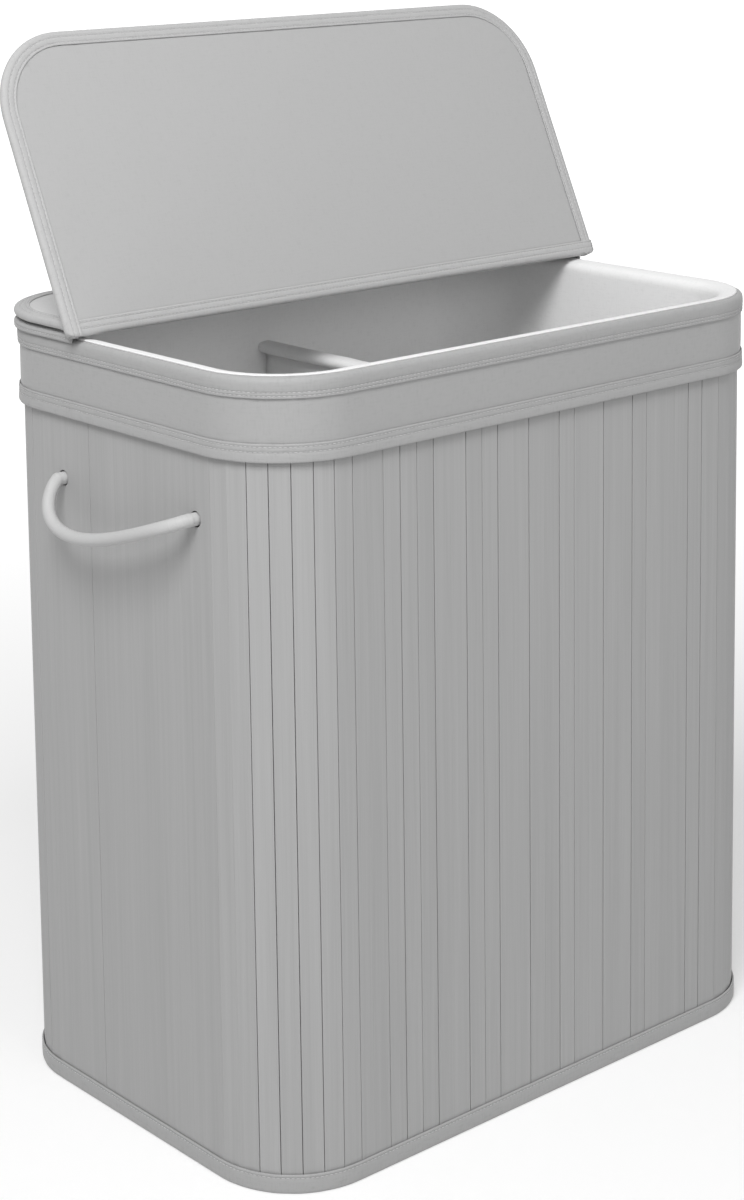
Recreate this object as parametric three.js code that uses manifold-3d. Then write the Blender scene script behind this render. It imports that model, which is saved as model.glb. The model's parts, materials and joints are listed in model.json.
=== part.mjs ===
// A laundry hamper with two bins.
// Grey wooden slats on a cloth backing make a rounded rectangular wall, which a cloth band with a rolled
// edge closes at the rim and a sewn tape at the floor. A white liner hangs inside and a padded bar parts
// it in two. The lid has a rear strip fixed on the rim and a front flap that stands open.
// All sizes are in millimetres. X runs along the hamper, the front faces -Y and Z is up.
import * as THREE from 'three';
import { mergeVertices } from 'three/addons/utils/BufferGeometryUtils.js';
import Module from 'manifold-3d';

const wasm = await Module();
wasm.setup();

// Walls, measured at the rim on the outside of the slats
const wallLength = 520;
const wallDepth = 344;
const cornerRadius = 70;
const wallFlare = 4;
const rimHeight = 604;
const fitGap = 0.3;
const runningGap = 0.5;
const facetGap = 0.7;
const overrun = 5;

// Slats and their backing
const slatThickness = 3;
const slatJoint = 0.9;
const slatJointDepth = 1.7;
const slatsAlongFront = 24;
const slatsAlongSide = 13;
const slatsRoundCorner = 7;
const backingThickness = 0.8;

// Rim band, its two bindings and what stiffens it
const bandHeight = 60.5;
const bandThickness = 1.7;
const bindingThickness = 1.5;
const topBindingHeight = 16;
const lowerBindingHeight = 13;
const rimWidth = 17;
const rimCrownThickness = 4;
const rimShoulder = 4.5;
const rimShoulderRise = 5;
const stiffenerThickness = 2.2;
const hoopHeight = 12;
const smoothCorner = 8;

// Base
const hemHeight = 15;
const hemInnerHeight = 12;
const hemThickness = 1.2;
const baseClothThickness = 1.2;
const baseBoardThickness = 4;
const baseFoldGap = 1.5;

// Liner and divider
const linerThickness = 1;
const linerHemThickness = 1.5;
const linerHemDrop = 14;
const linerHemReach = 11;
const linerHemCap = 1;
const linerTapeThickness = 2;
const linerTapeHeight = 7;
const linerTapeMargin = 12;
const dividerDrop = 52;
const dividerClothThickness = 1.5;
const sleeveWidth = 17;
const sleeveHeight = 10;
const sleeveThickness = 1;
const sleeveCorner = 4;
const sleeveCornerSegments = 4;

// Lid: both halves are a board between two cloths, with a binding sewn round the edge
const lidThickness = 7;
const lidBoardThickness = 3;
const lidClothThickness = 0.8;
const lidPlyGap = 0.2;
const lidBindingWidth = 12;
const lidSlotInset = 3;
const lidCornerSegments = 12;
const lidEdgeSegments = 2;
const flapOverhang = 10;
const flapCornerRadius = 65;
const flapHingeCorner = 6;
const flapLean = 25;
const flapSeatGap = 0.4;
const hingePlace = 45;
const hingeRise = 1;
const hingeInset = 4.2;
const stripOverhang = 3.5;
const stripCornerRadius = 76;
const stripHingeCorner = 5;
const fixingTapeThickness = 1.5;
const fixingTapeDrop = 3;
const fixingTapeCap = 3.6;
const hingeClothWidth = 1.6;
const hingeClothThickness = 0.8;

// Rope handles
const handleDrop = 109;
const handleFrontMargin = 13;
const handleRearMargin = 29;
const ropeDiameter = 10;
const ropeSides = 10;
const ropeSteps = 24;
const ballSides = 10;
const knotDiameter = 18;
const knotLength = 9;
const knotTaper = 2.5;
const handleHoleDiameter = 12;
const roundSides = 12;

// The rope's outer loop: how far out from the pivot line, along the wall and up, from rear to front
const ropeRoute = [
  [0, 81, 0], [3.6, 79.9, -2.4], [7, 78.6, -5.8], [10, 77.2, -9.8], [12.6, 75.2, -14.2], [14.8, 72.3, -18.7],
  [16.6, 68.1, -22.9], [17.9, 62.5, -26.5], [18.9, 55.3, -29.2], [19.6, 46.4, -30.9], [20.1, 36.5, -31.4],
  [20.4, 25.4, -31], [20.5, 13.5, -29.4], [20.5, 0.9, -26.9], [20.4, -12.6, -23.5], [20.1, -25.7, -19.7],
  [19.6, -38.3, -15.7], [18.7, -49.2, -12], [17.3, -58.6, -8.7], [15.4, -66.2, -6], [13, -71.9, -3.9],
  [10.2, -76, -2.3], [7, -78.8, -1.1], [3.6, -80.4, -0.3], [0, -81, 0],
];

// Colours
const slatGrey = '#a9a9a9';
const clothGrey = '#a6a6a6';
const liningGrey = '#bdbdbd';
const linerWhite = '#e4e4e2';
const boardBrown = '#b59d78';
const ropeGrey = '#bcbcba';

const slatPaint = new THREE.MeshStandardMaterial({ color: slatGrey, roughness: 0.6, metalness: 0 });
const bandCloth = new THREE.MeshStandardMaterial({ color: clothGrey, roughness: 0.8, metalness: 0 });
const liningCloth = new THREE.MeshStandardMaterial({ color: liningGrey, roughness: 0.85, metalness: 0 });
const linerCloth = new THREE.MeshStandardMaterial({ color: linerWhite, roughness: 0.9, metalness: 0 });
const bareBoard = new THREE.MeshStandardMaterial({ color: boardBrown, roughness: 0.8, metalness: 0 });
const ropeCover = new THREE.MeshStandardMaterial({ color: ropeGrey, roughness: 0.7, metalness: 0 });

// Derived heights and offsets. An offset is how far a surface lies outside the outer face of the slats.
const quarter = Math.PI / 2;
const slatBottom = hemThickness + fitGap;
const slatTop = rimHeight - rimCrownThickness - fitGap;
const bandInner = runningGap;
const bandOuter = bandInner + bandThickness;
const bindingInner = bandOuter + fitGap;
const bindingOuter = bindingInner + bindingThickness;
const bandBottom = rimHeight - bandHeight;
const dividerTop = rimHeight - dividerDrop;
const handleHeight = rimHeight - handleDrop;
const rimInner = bindingOuter - rimWidth;
const backingOuter = -slatThickness - fitGap;
const backingInner = backingOuter - backingThickness;
const stiffenerOuter = backingInner - fitGap;
const stiffenerInner = stiffenerOuter - stiffenerThickness;
const hoopOuter = stiffenerInner - facetGap;
const hoopInner = rimInner + bindingThickness + fitGap;
const hemInnerOuter = backingInner - facetGap;
const hemInner = hemInnerOuter - hemThickness;
const baseOffset = hemInner - fitGap;
const linerTapeOuter = rimInner - fitGap;
const linerHemOuter = linerTapeOuter - linerTapeThickness - fitGap;
const linerHemInner = linerHemOuter - linerHemThickness;
const linerOuter = linerHemOuter;
const linerInner = linerOuter - linerThickness;
const linerFloor = baseClothThickness + baseBoardThickness + 2 * fitGap;
const linerHemTop = rimHeight + fitGap + linerHemCap;
const linerHemBottom = linerHemTop - linerHemDrop;
const lidHalfThickness = lidThickness / 2;
const lean = THREE.MathUtils.degToRad(flapLean);

// The walls spread evenly from the rim to the floor
function flareAlong(size, z) {
  return 1 + 2 * wallFlare / size * Math.max(0, 1 - z / rimHeight);
}

function flared(geometry) {
  const at = geometry.attributes.position;
  for (let i = 0; i < at.count; i += 1) {
    const z = at.getZ(i);
    at.setX(i, at.getX(i) * flareAlong(wallLength, z));
    at.setY(i, at.getY(i) * flareAlong(wallDepth, z));
  }
  return geometry;
}

function wallFace(z) {
  return wallLength / 2 * flareAlong(wallLength, z);
}

// A closed mesh with shared corners and its faces pointing out
function closed(geometry) {
  const bare = geometry.index ? geometry.toNonIndexed() : geometry;
  for (const name of Object.keys(bare.attributes)) {
    if (name !== 'position') bare.deleteAttribute(name);
  }
  const merged = mergeVertices(bare, fitGap / 1000);
  const at = merged.attributes.position;
  const index = merged.index.array;
  const kept = [];
  const a = new THREE.Vector3();
  const b = new THREE.Vector3();
  const c = new THREE.Vector3();
  let volume = 0;
  for (let i = 0; i < index.length; i += 3) {
    const [p, q, r] = [index[i], index[i + 1], index[i + 2]];
    if (p === q || q === r || r === p) continue;
    kept.push(p, q, r);
    a.fromBufferAttribute(at, p);
    b.fromBufferAttribute(at, q);
    c.fromBufferAttribute(at, r);
    volume += a.dot(b.cross(c));
  }
  if (volume < 0) kept.reverse();
  merged.setIndex(kept);
  return merged;
}

function solid(geometry) {
  const mesh = closed(geometry);
  return new wasm.Manifold(new wasm.Mesh({
    numProp: 3,
    vertProperties: new Float32Array(mesh.attributes.position.array),
    triVerts: new Uint32Array(mesh.index.array),
  }));
}

function fromSolid(body) {
  const mesh = body.getMesh();
  const geometry = new THREE.BufferGeometry();
  geometry.setAttribute('position', new THREE.BufferAttribute(new Float32Array(mesh.vertProperties), 3));
  geometry.setIndex(new THREE.BufferAttribute(new Uint32Array(mesh.triVerts), 1));
  return geometry;
}

// A closed section of [offset, height] points led round the rounded rectangle of the wall: a lathe of the
// corner radius whose four quarters are drawn apart.
function hoop(section, cornerSegments = smoothCorner) {
  const points = [...section, section[0]].map(([offset, z]) => new THREE.Vector2(cornerRadius + offset, z));
  const perQuarter = cornerSegments + 1;
  const around = 4 * perQuarter;
  const geometry = new THREE.LatheGeometry(points, around);
  const at = geometry.attributes.position;
  const reachX = wallLength / 2 - cornerRadius;
  const reachY = wallDepth / 2 - cornerRadius;
  for (let i = 0; i < at.count; i += 1) {
    const point = points[i % points.length];
    const step = Math.floor(i / points.length) % around;
    const side = Math.floor(step / perQuarter);
    const angle = (side + (step % perQuarter) / cornerSegments) * quarter;
    const signX = side === 0 || side === 3 ? 1 : -1;
    const signY = side < 2 ? 1 : -1;
    const x = signX * reachX + point.x * Math.cos(angle);
    const y = signY * reachY + point.x * Math.sin(angle);
    at.setXYZ(i, x, y, point.y);
  }
  return geometry;
}

function ringSection(outer, inner, bottom, top) {
  return [[outer, bottom], [outer, top], [inner, top], [inner, bottom]];
}

// A plan outline with its own radius at the front and at the rear corners
function plan(left, front, right, rear, frontRadius, rearRadius) {
  const shape = new THREE.Shape();
  shape.moveTo(left + frontRadius, front);
  shape.lineTo(right - frontRadius, front);
  if (frontRadius > 0) shape.absarc(right - frontRadius, front + frontRadius, frontRadius, -quarter, 0);
  shape.lineTo(right, rear - rearRadius);
  if (rearRadius > 0) shape.absarc(right - rearRadius, rear - rearRadius, rearRadius, 0, quarter);
  shape.lineTo(left + rearRadius, rear);
  if (rearRadius > 0) shape.absarc(left + rearRadius, rear - rearRadius, rearRadius, quarter, 2 * quarter);
  shape.lineTo(left, front + frontRadius);
  if (frontRadius > 0) {
    shape.absarc(left + frontRadius, front + frontRadius, frontRadius, 2 * quarter, 3 * quarter);
  }
  return shape;
}

// An extrusion gives a circular arc two facets for each of its curve segments
const arcFacets = 2;

function slab(shape, bottom, top, cornerSegments) {
  const curveSegments = cornerSegments / arcFacets;
  const settings = { depth: top - bottom, bevelEnabled: false, curveSegments };
  return new THREE.ExtrudeGeometry(shape, settings).translate(0, 0, bottom);
}

// The wall's own plan, at an offset from the slats' outer face
function wallPlan(offset) {
  const x = wallLength / 2 + offset;
  const y = wallDepth / 2 + offset;
  const radius = cornerRadius + offset;
  return plan(-x, -y, x, y, radius, radius);
}

const hamper = new THREE.Group();
hamper.name = 'hamper';

function add(name, geometry, material, parent = hamper) {
  const mesh = new THREE.Mesh(closed(geometry), material);
  mesh.name = name;
  parent.add(mesh);
  return mesh;
}

// Slat runs. Each is one mat of slats with a narrow groove at every joint.
function straightMat(length, count) {
  const pitch = length / count;
  const half = length / 2;
  const shape = new THREE.Shape();
  shape.moveTo(-half + slatJoint / 2, -slatThickness);
  shape.lineTo(half - slatJoint / 2, -slatThickness);
  shape.lineTo(half - slatJoint / 2, 0);
  for (let k = count - 1; k > 0; k -= 1) {
    const joint = -half + k * pitch;
    shape.lineTo(joint + slatJoint / 2, 0);
    shape.lineTo(joint, -slatJointDepth);
    shape.lineTo(joint - slatJoint / 2, 0);
  }
  shape.lineTo(-half + slatJoint / 2, 0);
  shape.closePath();
  return slab(shape, slatBottom, slatTop, 1);
}

function cornerMat() {
  const turn = quarter / slatsRoundCorner;
  const onCircle = (radius, k) => new THREE.Vector2(radius * Math.cos(k * turn), radius * Math.sin(k * turn));
  const innerRadius = cornerRadius - slatThickness;
  const grooveRadius = cornerRadius - slatJointDepth;
  const shape = new THREE.Shape();
  for (let k = 0; k < slatsRoundCorner; k += 1) {
    const start = onCircle(cornerRadius, k);
    const end = onCircle(cornerRadius, k + 1);
    const inset = end.clone().sub(start).setLength(slatJoint / 2);
    start.add(inset);
    end.sub(inset);
    if (k === 0) shape.moveTo(start.x, start.y);
    else shape.lineTo(start.x, start.y);
    shape.lineTo(end.x, end.y);
    const groove = onCircle(grooveRadius, k + 1);
    if (k < slatsRoundCorner - 1) shape.lineTo(groove.x, groove.y);
  }
  for (let k = slatsRoundCorner; k >= 0; k -= 1) {
    const point = onCircle(innerRadius, k);
    if (k === slatsRoundCorner) point.x += slatJoint / 2;
    if (k === 0) point.y += slatJoint / 2;
    shape.lineTo(point.x, point.y);
  }
  shape.closePath();
  return slab(shape, slatBottom, slatTop, 1);
}

const frontRun = wallLength - 2 * cornerRadius;
const sideRun = wallDepth - 2 * cornerRadius;
const halfLength = wallLength / 2;
const halfDepth = wallDepth / 2;

// Handle holes go through the slats and the backing of both end walls
const holePlaces = [sideRun / 2 - handleRearMargin, handleFrontMargin - sideRun / 2];
const handleSpan = holePlaces[0] - holePlaces[1];
const handleMiddle = (holePlaces[0] + holePlaces[1]) / 2;

function withHandleHoles(geometry, sides) {
  let body = solid(geometry);
  for (const side of sides) {
    for (const y of holePlaces) {
      const radius = handleHoleDiameter / 2;
      const depth = slatThickness + backingThickness + overrun;
      const drill = new THREE.CylinderGeometry(radius, radius, 2 * depth, roundSides).rotateZ(quarter);
      drill.translate(side * wallFace(handleHeight), y, handleHeight);
      body = body.subtract(solid(drill));
    }
  }
  return fromSolid(body);
}

add('slat_panel_rear', flared(straightMat(frontRun, slatsAlongFront).translate(0, halfDepth, 0)), slatPaint);
add('slat_panel_front',
  flared(straightMat(frontRun, slatsAlongFront).rotateZ(2 * quarter).translate(0, -halfDepth, 0)), slatPaint);
const leftMat = flared(straightMat(sideRun, slatsAlongSide).rotateZ(quarter).translate(-halfLength, 0, 0));
const rightMat = flared(straightMat(sideRun, slatsAlongSide).rotateZ(-quarter).translate(halfLength, 0, 0));
add('slat_panel_left', withHandleHoles(leftMat, [-1]), slatPaint);
add('slat_panel_right', withHandleHoles(rightMat, [1]), slatPaint);

const cornerNames = ['rear_right', 'rear_left', 'front_left', 'front_right'];
cornerNames.forEach((name, turn) => {
  const signX = turn === 0 || turn === 3 ? 1 : -1;
  const signY = turn < 2 ? 1 : -1;
  const geometry = cornerMat().rotateZ(turn * quarter);
  geometry.translate(signX * frontRun / 2, signY * sideRun / 2, 0);
  add('slat_corner_' + name, flared(geometry), slatPaint);
});

const backingRing = ringSection(backingOuter, backingInner, slatBottom, slatTop);
const backing = flared(hoop(backingRing, slatsRoundCorner));
add('wall_backing_cloth', withHandleHoles(backing, [-1, 1]), bandCloth);

// Base: a tape folded round the lower edge of the mat, a cloth under the floor and a board in two halves
add('base_hem_binding', flared(hoop([
  [bandInner + hemThickness, 0], [bandInner + hemThickness, hemHeight], [bandInner, hemHeight],
  [bandInner, hemThickness], [hemInnerOuter, hemThickness], [hemInnerOuter, hemInnerHeight],
  [hemInner, hemInnerHeight], [hemInner, 0],
])), bandCloth);
add('base_cloth', flared(slab(wallPlan(baseOffset), 0, baseClothThickness, smoothCorner)), bandCloth);
const boardBottom = baseClothThickness + fitGap;
const boardX = wallLength / 2 + baseOffset;
const boardY = wallDepth / 2 + baseOffset;
const boardRadius = cornerRadius + baseOffset;
const halfBoard = plan(-boardY, -boardX, boardY, -baseFoldGap / 2, boardRadius, 0);
for (const [name, turn] of [['base_board_left', -1], ['base_board_right', 1]]) {
  const board = slab(halfBoard, boardBottom, boardBottom + baseBoardThickness, smoothCorner);
  add(name, flared(board.rotateZ(turn * quarter)), bareBoard);
}

// Rim: stiffener and hoop inside the mat, cloth cover outside it, one tape rolled over the top and one below
const coverBottom = bandBottom + bindingThickness + fitGap;
const stiffenerRing = ringSection(stiffenerOuter, stiffenerInner, coverBottom, slatTop);
add('rim_stiffener', flared(hoop(stiffenerRing, slatsRoundCorner)), bareBoard);
const hoopRing = ringSection(hoopOuter, hoopInner, slatTop - hoopHeight, slatTop);
add('rim_hoop', flared(hoop(hoopRing)), bareBoard);
const coverRing = ringSection(bandOuter, bandInner, coverBottom, slatTop);
add('rim_band_cover', flared(hoop(coverRing)), bandCloth);
const bindingFoot = rimHeight - topBindingHeight;
const crownBottom = rimHeight - rimCrownThickness;
const shoulderHigh = rimHeight - rimShoulder / 3;
add('rim_top_binding', flared(hoop([
  [bindingOuter, bindingFoot], [bindingOuter, rimHeight - rimShoulderRise],
  [bindingOuter - rimShoulder / 3, shoulderHigh], [bindingOuter - rimShoulder, rimHeight],
  [rimInner + rimShoulder, rimHeight], [rimInner + rimShoulder / 3, shoulderHigh],
  [rimInner, rimHeight - rimShoulderRise], [rimInner, bindingFoot],
  [rimInner + bindingThickness, bindingFoot], [rimInner + bindingThickness, crownBottom],
  [bindingInner, crownBottom], [bindingInner, bindingFoot],
])), bandCloth);
add('rim_lower_binding', flared(hoop([
  [bindingOuter, bandBottom], [bindingOuter, bandBottom + lowerBindingHeight],
  [bindingInner, bandBottom + lowerBindingHeight], [bindingInner, bandBottom + bindingThickness],
  [bandInner, bandBottom + bindingThickness], [bandInner, bandBottom],
])), bandCloth);

// Liner: one bag with its hem turned over the rim, and the padded bar that parts it into two bins
const linerTop = linerHemBottom - fitGap;
const insideBottom = linerFloor + linerThickness;
const bagOutside = solid(slab(wallPlan(linerOuter), linerFloor, linerTop, slatsRoundCorner));
const bagInside = slab(wallPlan(linerInner), insideBottom, linerTop + overrun, slatsRoundCorner);
add('liner_bag', flared(fromSolid(bagOutside.subtract(solid(bagInside)))), linerCloth);
add('liner_top_hem', flared(hoop([
  [linerHemOuter, linerHemBottom], [linerHemOuter, rimHeight + fitGap],
  [linerHemInner + linerHemReach, rimHeight + fitGap], [linerHemInner + linerHemReach, linerHemTop],
  [linerHemInner, linerHemTop], [linerHemInner, linerHemBottom],
])), linerCloth);

// Hook-and-loop tape holds the hem inside the rim, one length on each straight side
const tapeSides = [['rear', frontRun, halfDepth, 0], ['left', sideRun, halfLength, 1],
  ['front', frontRun, halfDepth, 2], ['right', sideRun, halfLength, 3]];
for (const [name, run, reach, turn] of tapeSides) {
  const tape = new THREE.BoxGeometry(run - 2 * linerTapeMargin, linerTapeThickness, linerTapeHeight);
  const height = rimHeight - rimShoulderRise - linerTapeHeight / 2;
  tape.translate(0, reach + linerTapeOuter - linerTapeThickness / 2, height).rotateZ(turn * quarter);
  add('liner_tape_' + name, flared(tape), bandCloth);
}

const dividerReach = wallDepth / 2 + linerInner - fitGap;
const sleeveBottom = dividerTop - sleeveHeight;

function alongDivider(shape, reach) {
  return slab(shape, -reach, reach, sleeveCornerSegments).rotateX(quarter);
}

const sleeveHalf = sleeveWidth / 2;
const sleeve = plan(-sleeveHalf, sleeveBottom, sleeveHalf, dividerTop, sleeveCorner, sleeveCorner);
sleeve.holes.push(plan(-sleeveHalf + sleeveThickness, sleeveBottom + sleeveThickness,
  sleeveHalf - sleeveThickness, dividerTop - sleeveThickness,
  sleeveCorner - sleeveThickness, sleeveCorner - sleeveThickness));
add('divider_sleeve', flared(alongDivider(sleeve, dividerReach)), linerCloth);
const barInset = sleeveThickness + fitGap;
const barCorner = sleeveCorner - sleeveThickness;
add('divider_bar', flared(alongDivider(plan(-sleeveHalf + barInset, sleeveBottom + barInset,
  sleeveHalf - barInset, dividerTop - barInset, barCorner, barCorner), dividerReach)), bareBoard);
const panelHalf = dividerClothThickness / 2;
const panelFoot = insideBottom + fitGap;
add('divider_panel', flared(alongDivider(
  plan(-panelHalf, panelFoot, panelHalf, sleeveBottom - fitGap, 0, 0), dividerReach)), linerCloth);

// Lid panels: board, two cloths and a binding whose edge is rounded, all about their own middle height
const pliesThickness = lidBoardThickness + 2 * lidClothThickness + 2 * lidPlyGap;
const slotThickness = pliesThickness + 2 * lidPlyGap;

function addLidPanel(prefix, outline, middle, topName, underName, parent) {
  const edge = new THREE.ExtrudeGeometry(outline(0), {
    depth: lidThickness - 2 * (lidHalfThickness - lidPlyGap / 2),
    bevelThickness: lidHalfThickness - lidPlyGap / 2,
    bevelSize: lidHalfThickness,
    bevelOffset: -lidHalfThickness,
    bevelSegments: lidEdgeSegments,
    curveSegments: lidCornerSegments / arcFacets,
  });
  edge.translate(0, 0, middle - lidPlyGap / 2);
  const centred = (inset, thickness) => solid(slab(
    outline(inset), middle - thickness / 2, middle + thickness / 2, lidCornerSegments));
  const slot = centred(lidSlotInset, slotThickness);
  const window = centred(lidBindingWidth, lidThickness + overrun);
  add(prefix + '_binding', fromSolid(solid(edge).subtract(slot).subtract(window)), bandCloth, parent);
  const ply = (bottom, thickness) => slab(
    outline(lidSlotInset + lidPlyGap), middle + bottom, middle + bottom + thickness, lidCornerSegments);
  const boardHalf = lidBoardThickness / 2;
  add(prefix + '_board', ply(-boardHalf, lidBoardThickness), bareBoard, parent);
  add(prefix + topName, ply(boardHalf + lidPlyGap, lidClothThickness), bandCloth, parent);
  const liningBottom = -boardHalf - lidPlyGap - lidClothThickness;
  add(prefix + underName, ply(liningBottom, lidClothThickness), liningCloth, parent);
}

// The flap turns about a line near the middle of its thickness, a little in from its rear edge
const flapMiddle = linerHemTop + flapSeatGap + lidHalfThickness;
const hingeHeight = flapMiddle + hingeRise;
const stripSeat = rimHeight + 2 * fitGap + linerHemCap + fixingTapeCap;
const stripMiddle = stripSeat + fitGap + lidHalfThickness;
const flapBack = flapMiddle + lidHalfThickness - hingeHeight;
const stripClear = flapBack + lidHalfThickness + fitGap + (stripMiddle - hingeHeight) * Math.sin(lean);
const stripFront = hingePlace + stripClear / Math.cos(lean) - lidHalfThickness;

function flapOutline(inset) {
  const x = halfLength + bindingOuter + flapOverhang - inset;
  const front = -halfDepth - bindingOuter - flapOverhang - hingePlace + inset;
  const rearRadius = Math.max(flapHingeCorner - inset, 0);
  return plan(-x, front, x, hingeInset - inset, flapCornerRadius - inset, rearRadius);
}
const flap = new THREE.Group();
addLidPanel('flap', flapOutline, flapMiddle - hingeHeight, '_top_cloth', '_lining', flap);
flap.position.set(0, hingePlace, hingeHeight);
flap.rotation.x = -quarter - lean;
hamper.add(flap);

function stripOutline(inset) {
  const x = halfLength + bindingOuter + stripOverhang - inset;
  const rear = halfDepth + bindingOuter + stripOverhang - inset;
  const frontRadius = Math.max(stripHingeCorner - inset, 0);
  return plan(-x, stripFront + inset, x, rear, frontRadius, stripCornerRadius - inset);
}
addLidPanel('rear_strip', stripOutline, stripMiddle, '_top_cloth', '_lining', hamper);

// The tape that fixes the strip lies over the rear half of the rim, from one end of the hinge to the other
const tapeInner = bindingOuter + fitGap;
const tapeOuter = tapeInner + fixingTapeThickness;
const tapeFoot = rimHeight - fixingTapeDrop;
const tapeUnder = linerHemTop + fitGap;
const tapeRing = solid(hoop([
  [tapeOuter, tapeFoot], [tapeOuter, stripSeat], [linerHemInner, stripSeat],
  [linerHemInner, tapeUnder], [tapeInner, tapeUnder], [tapeInner, tapeFoot],
]));
const cutReach = wallDepth + stripFront;
const frontHalf = new THREE.BoxGeometry(2 * wallLength, cutReach, 2 * wallDepth);
frontHalf.translate(0, stripFront - cutReach / 2, rimHeight);
add('lid_fixing_tape', fromSolid(tapeRing.subtract(solid(frontHalf))), bandCloth);

// Hinge cloth: a short web in the gap between the strip's front edge and the flap's rear edge
const hingeWeb = new THREE.BoxGeometry(wallLength, hingeClothWidth, hingeClothThickness);
const webHeight = stripMiddle - lidHalfThickness + (hingeClothThickness + fitGap) / 2;
hingeWeb.translate(0, stripFront + 2 * fitGap - hingeClothWidth / 2, webHeight);
add('hinge_cloth', hingeWeb, bandCloth);

// Rope handles: the outer loop turns about the line through its two ball-shaped ends
const ropeRadius = ropeDiameter / 2;
const pivotStandoff = ropeRadius + fitGap + fitGap / 2;

function ropeLoop() {
  const routeSpan = ropeRoute[0][1] - ropeRoute[ropeRoute.length - 1][1];
  const stretch = handleSpan / routeSpan;
  const route = ropeRoute.map(([out, along, up]) => new THREE.Vector3(out, along * stretch, up));
  const path = new THREE.CatmullRomCurve3(route);
  const section = new THREE.Shape();
  for (let k = 0; k < ropeSides; k += 1) {
    const angle = 4 * quarter * k / ropeSides;
    const point = [ropeRadius * Math.cos(angle), ropeRadius * Math.sin(angle)];
    if (k === 0) section.moveTo(...point);
    else section.lineTo(...point);
  }
  section.closePath();
  const tube = new THREE.ExtrudeGeometry(section, { steps: ropeSteps, extrudePath: path });
  let body = solid(tube);
  for (const end of [route[0], route[route.length - 1]]) {
    const ball = new THREE.SphereGeometry(ropeRadius, ballSides, ballSides / 2).translate(...end);
    body = body.add(solid(ball));
  }
  return fromSolid(body);
}

// A round piece from [radius, depth into the wall] points, its axis along X and its depth towards -X
function turned(profile, sides) {
  const points = profile.map(([radius, depth]) => new THREE.Vector2(radius, depth));
  return new THREE.LatheGeometry(points, sides).rotateZ(quarter);
}

const wallDepthInside = slatThickness + 2 * fitGap + backingThickness;
const knotRadius = knotDiameter / 2;
const knotStart = wallDepthInside + fitGap;
const knotEnd = knotStart + knotLength;
const ropeEndProfile = [
  [0, 0], [ropeRadius, 0], [ropeRadius, knotStart], [knotRadius, knotStart + knotTaper],
  [knotRadius, knotEnd - knotTaper], [ropeRadius, knotEnd], [0, knotEnd],
];

for (const [end, side] of [['left', -1], ['right', 1]]) {
  const face = wallFace(handleHeight);
  const loop = ropeLoop();
  if (side < 0) loop.scale(-1, 1, 1);
  loop.translate(side * (face + pivotStandoff), handleMiddle, handleHeight);
  add(end + '_handle_rope', loop, ropeCover);
  holePlaces.forEach((y, i) => {
    const place = i === 0 ? '_rear' : '_front';
    const ropeEnd = turned(ropeEndProfile, roundSides);
    if (side < 0) ropeEnd.rotateZ(2 * quarter);
    add(end + place + '_rope_end', ropeEnd.translate(side * face, y, handleHeight), ropeCover);
  });
}

export default hamper;
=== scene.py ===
# A laundry hamper with two bins, put together as it is sewn: mats of grey painted slats, a stitched rim and
# foot, a white liner parted by a padded bar, a cloth-covered lid in two halves and a rope at each end.
import itertools
import json
import math
import random
from collections import namedtuple
from contextlib import contextmanager

import bpy
from mathutils import Matrix, Vector, noise


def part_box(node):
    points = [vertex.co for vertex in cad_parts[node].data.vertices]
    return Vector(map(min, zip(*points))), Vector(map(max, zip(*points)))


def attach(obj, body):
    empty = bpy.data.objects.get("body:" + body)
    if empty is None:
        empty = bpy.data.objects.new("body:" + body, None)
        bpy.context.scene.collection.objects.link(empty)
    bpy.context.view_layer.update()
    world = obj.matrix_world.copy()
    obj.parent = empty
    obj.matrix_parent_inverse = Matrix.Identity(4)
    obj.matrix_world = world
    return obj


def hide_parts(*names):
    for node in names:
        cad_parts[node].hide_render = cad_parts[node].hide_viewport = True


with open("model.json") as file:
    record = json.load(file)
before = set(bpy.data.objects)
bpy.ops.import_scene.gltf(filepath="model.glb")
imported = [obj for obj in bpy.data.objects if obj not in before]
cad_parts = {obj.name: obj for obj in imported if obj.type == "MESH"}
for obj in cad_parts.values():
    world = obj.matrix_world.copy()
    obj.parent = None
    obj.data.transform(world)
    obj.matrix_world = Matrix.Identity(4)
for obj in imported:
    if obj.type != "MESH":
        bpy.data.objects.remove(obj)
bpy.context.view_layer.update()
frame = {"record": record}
bpy.context.scene.view_settings.view_transform = "Standard"

# Slat walls. Each wall is a mat of split bamboo slats, 3 mm thick and painted grey, glued edge to edge on
# cloth. Seven narrow flats turn each corner, and some joints stand a little open and read as dark lines.
mm = 0.001
touch = mm / 10
quarter = math.pi / 2
wall_length = 520 * mm
wall_depth = 344 * mm
corner_radius = 70 * mm
floor_spread = 4 * mm
flat_length = wall_length - 2 * corner_radius
flat_depth = wall_depth - 2 * corner_radius
rim_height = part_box("rim_top_binding")[1].z
slat_foot, slat_head = (corner.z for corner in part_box("slat_panel_front"))
slat_thickness = 3 * mm
slat_edge_round = 0.3 * mm
slat_cuts = 7
slats_along_front = 24
slats_along_side = 13
slats_round_corner = 7
slat_lean = math.radians(0.09)
slat_waver = 0.02 * mm
slat_pitch = 20 * mm
smooth_angle = math.radians(15)
open_joint = 0.65 * mm
parted_joint = 0.35 * mm
corner_joint = 0.45 * mm
tight_joint = 0.02 * mm
joint_shift = 3.7 * mm
open_front_joints = {3, 5, 7, 9, 11, 13, 16, 18, 22, 23}
parted_front_joints = {0, 2, 4, 8, 14, 19, 24}
slat_numbers = itertools.count()
hand = random.Random(11)


def select_only(piece):
    """Leaves one object selected and active, because an operator acts on all that is selected."""
    bpy.ops.object.select_all(action="DESELECT")
    piece.select_set(True)
    bpy.context.view_layer.objects.active = piece


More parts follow.
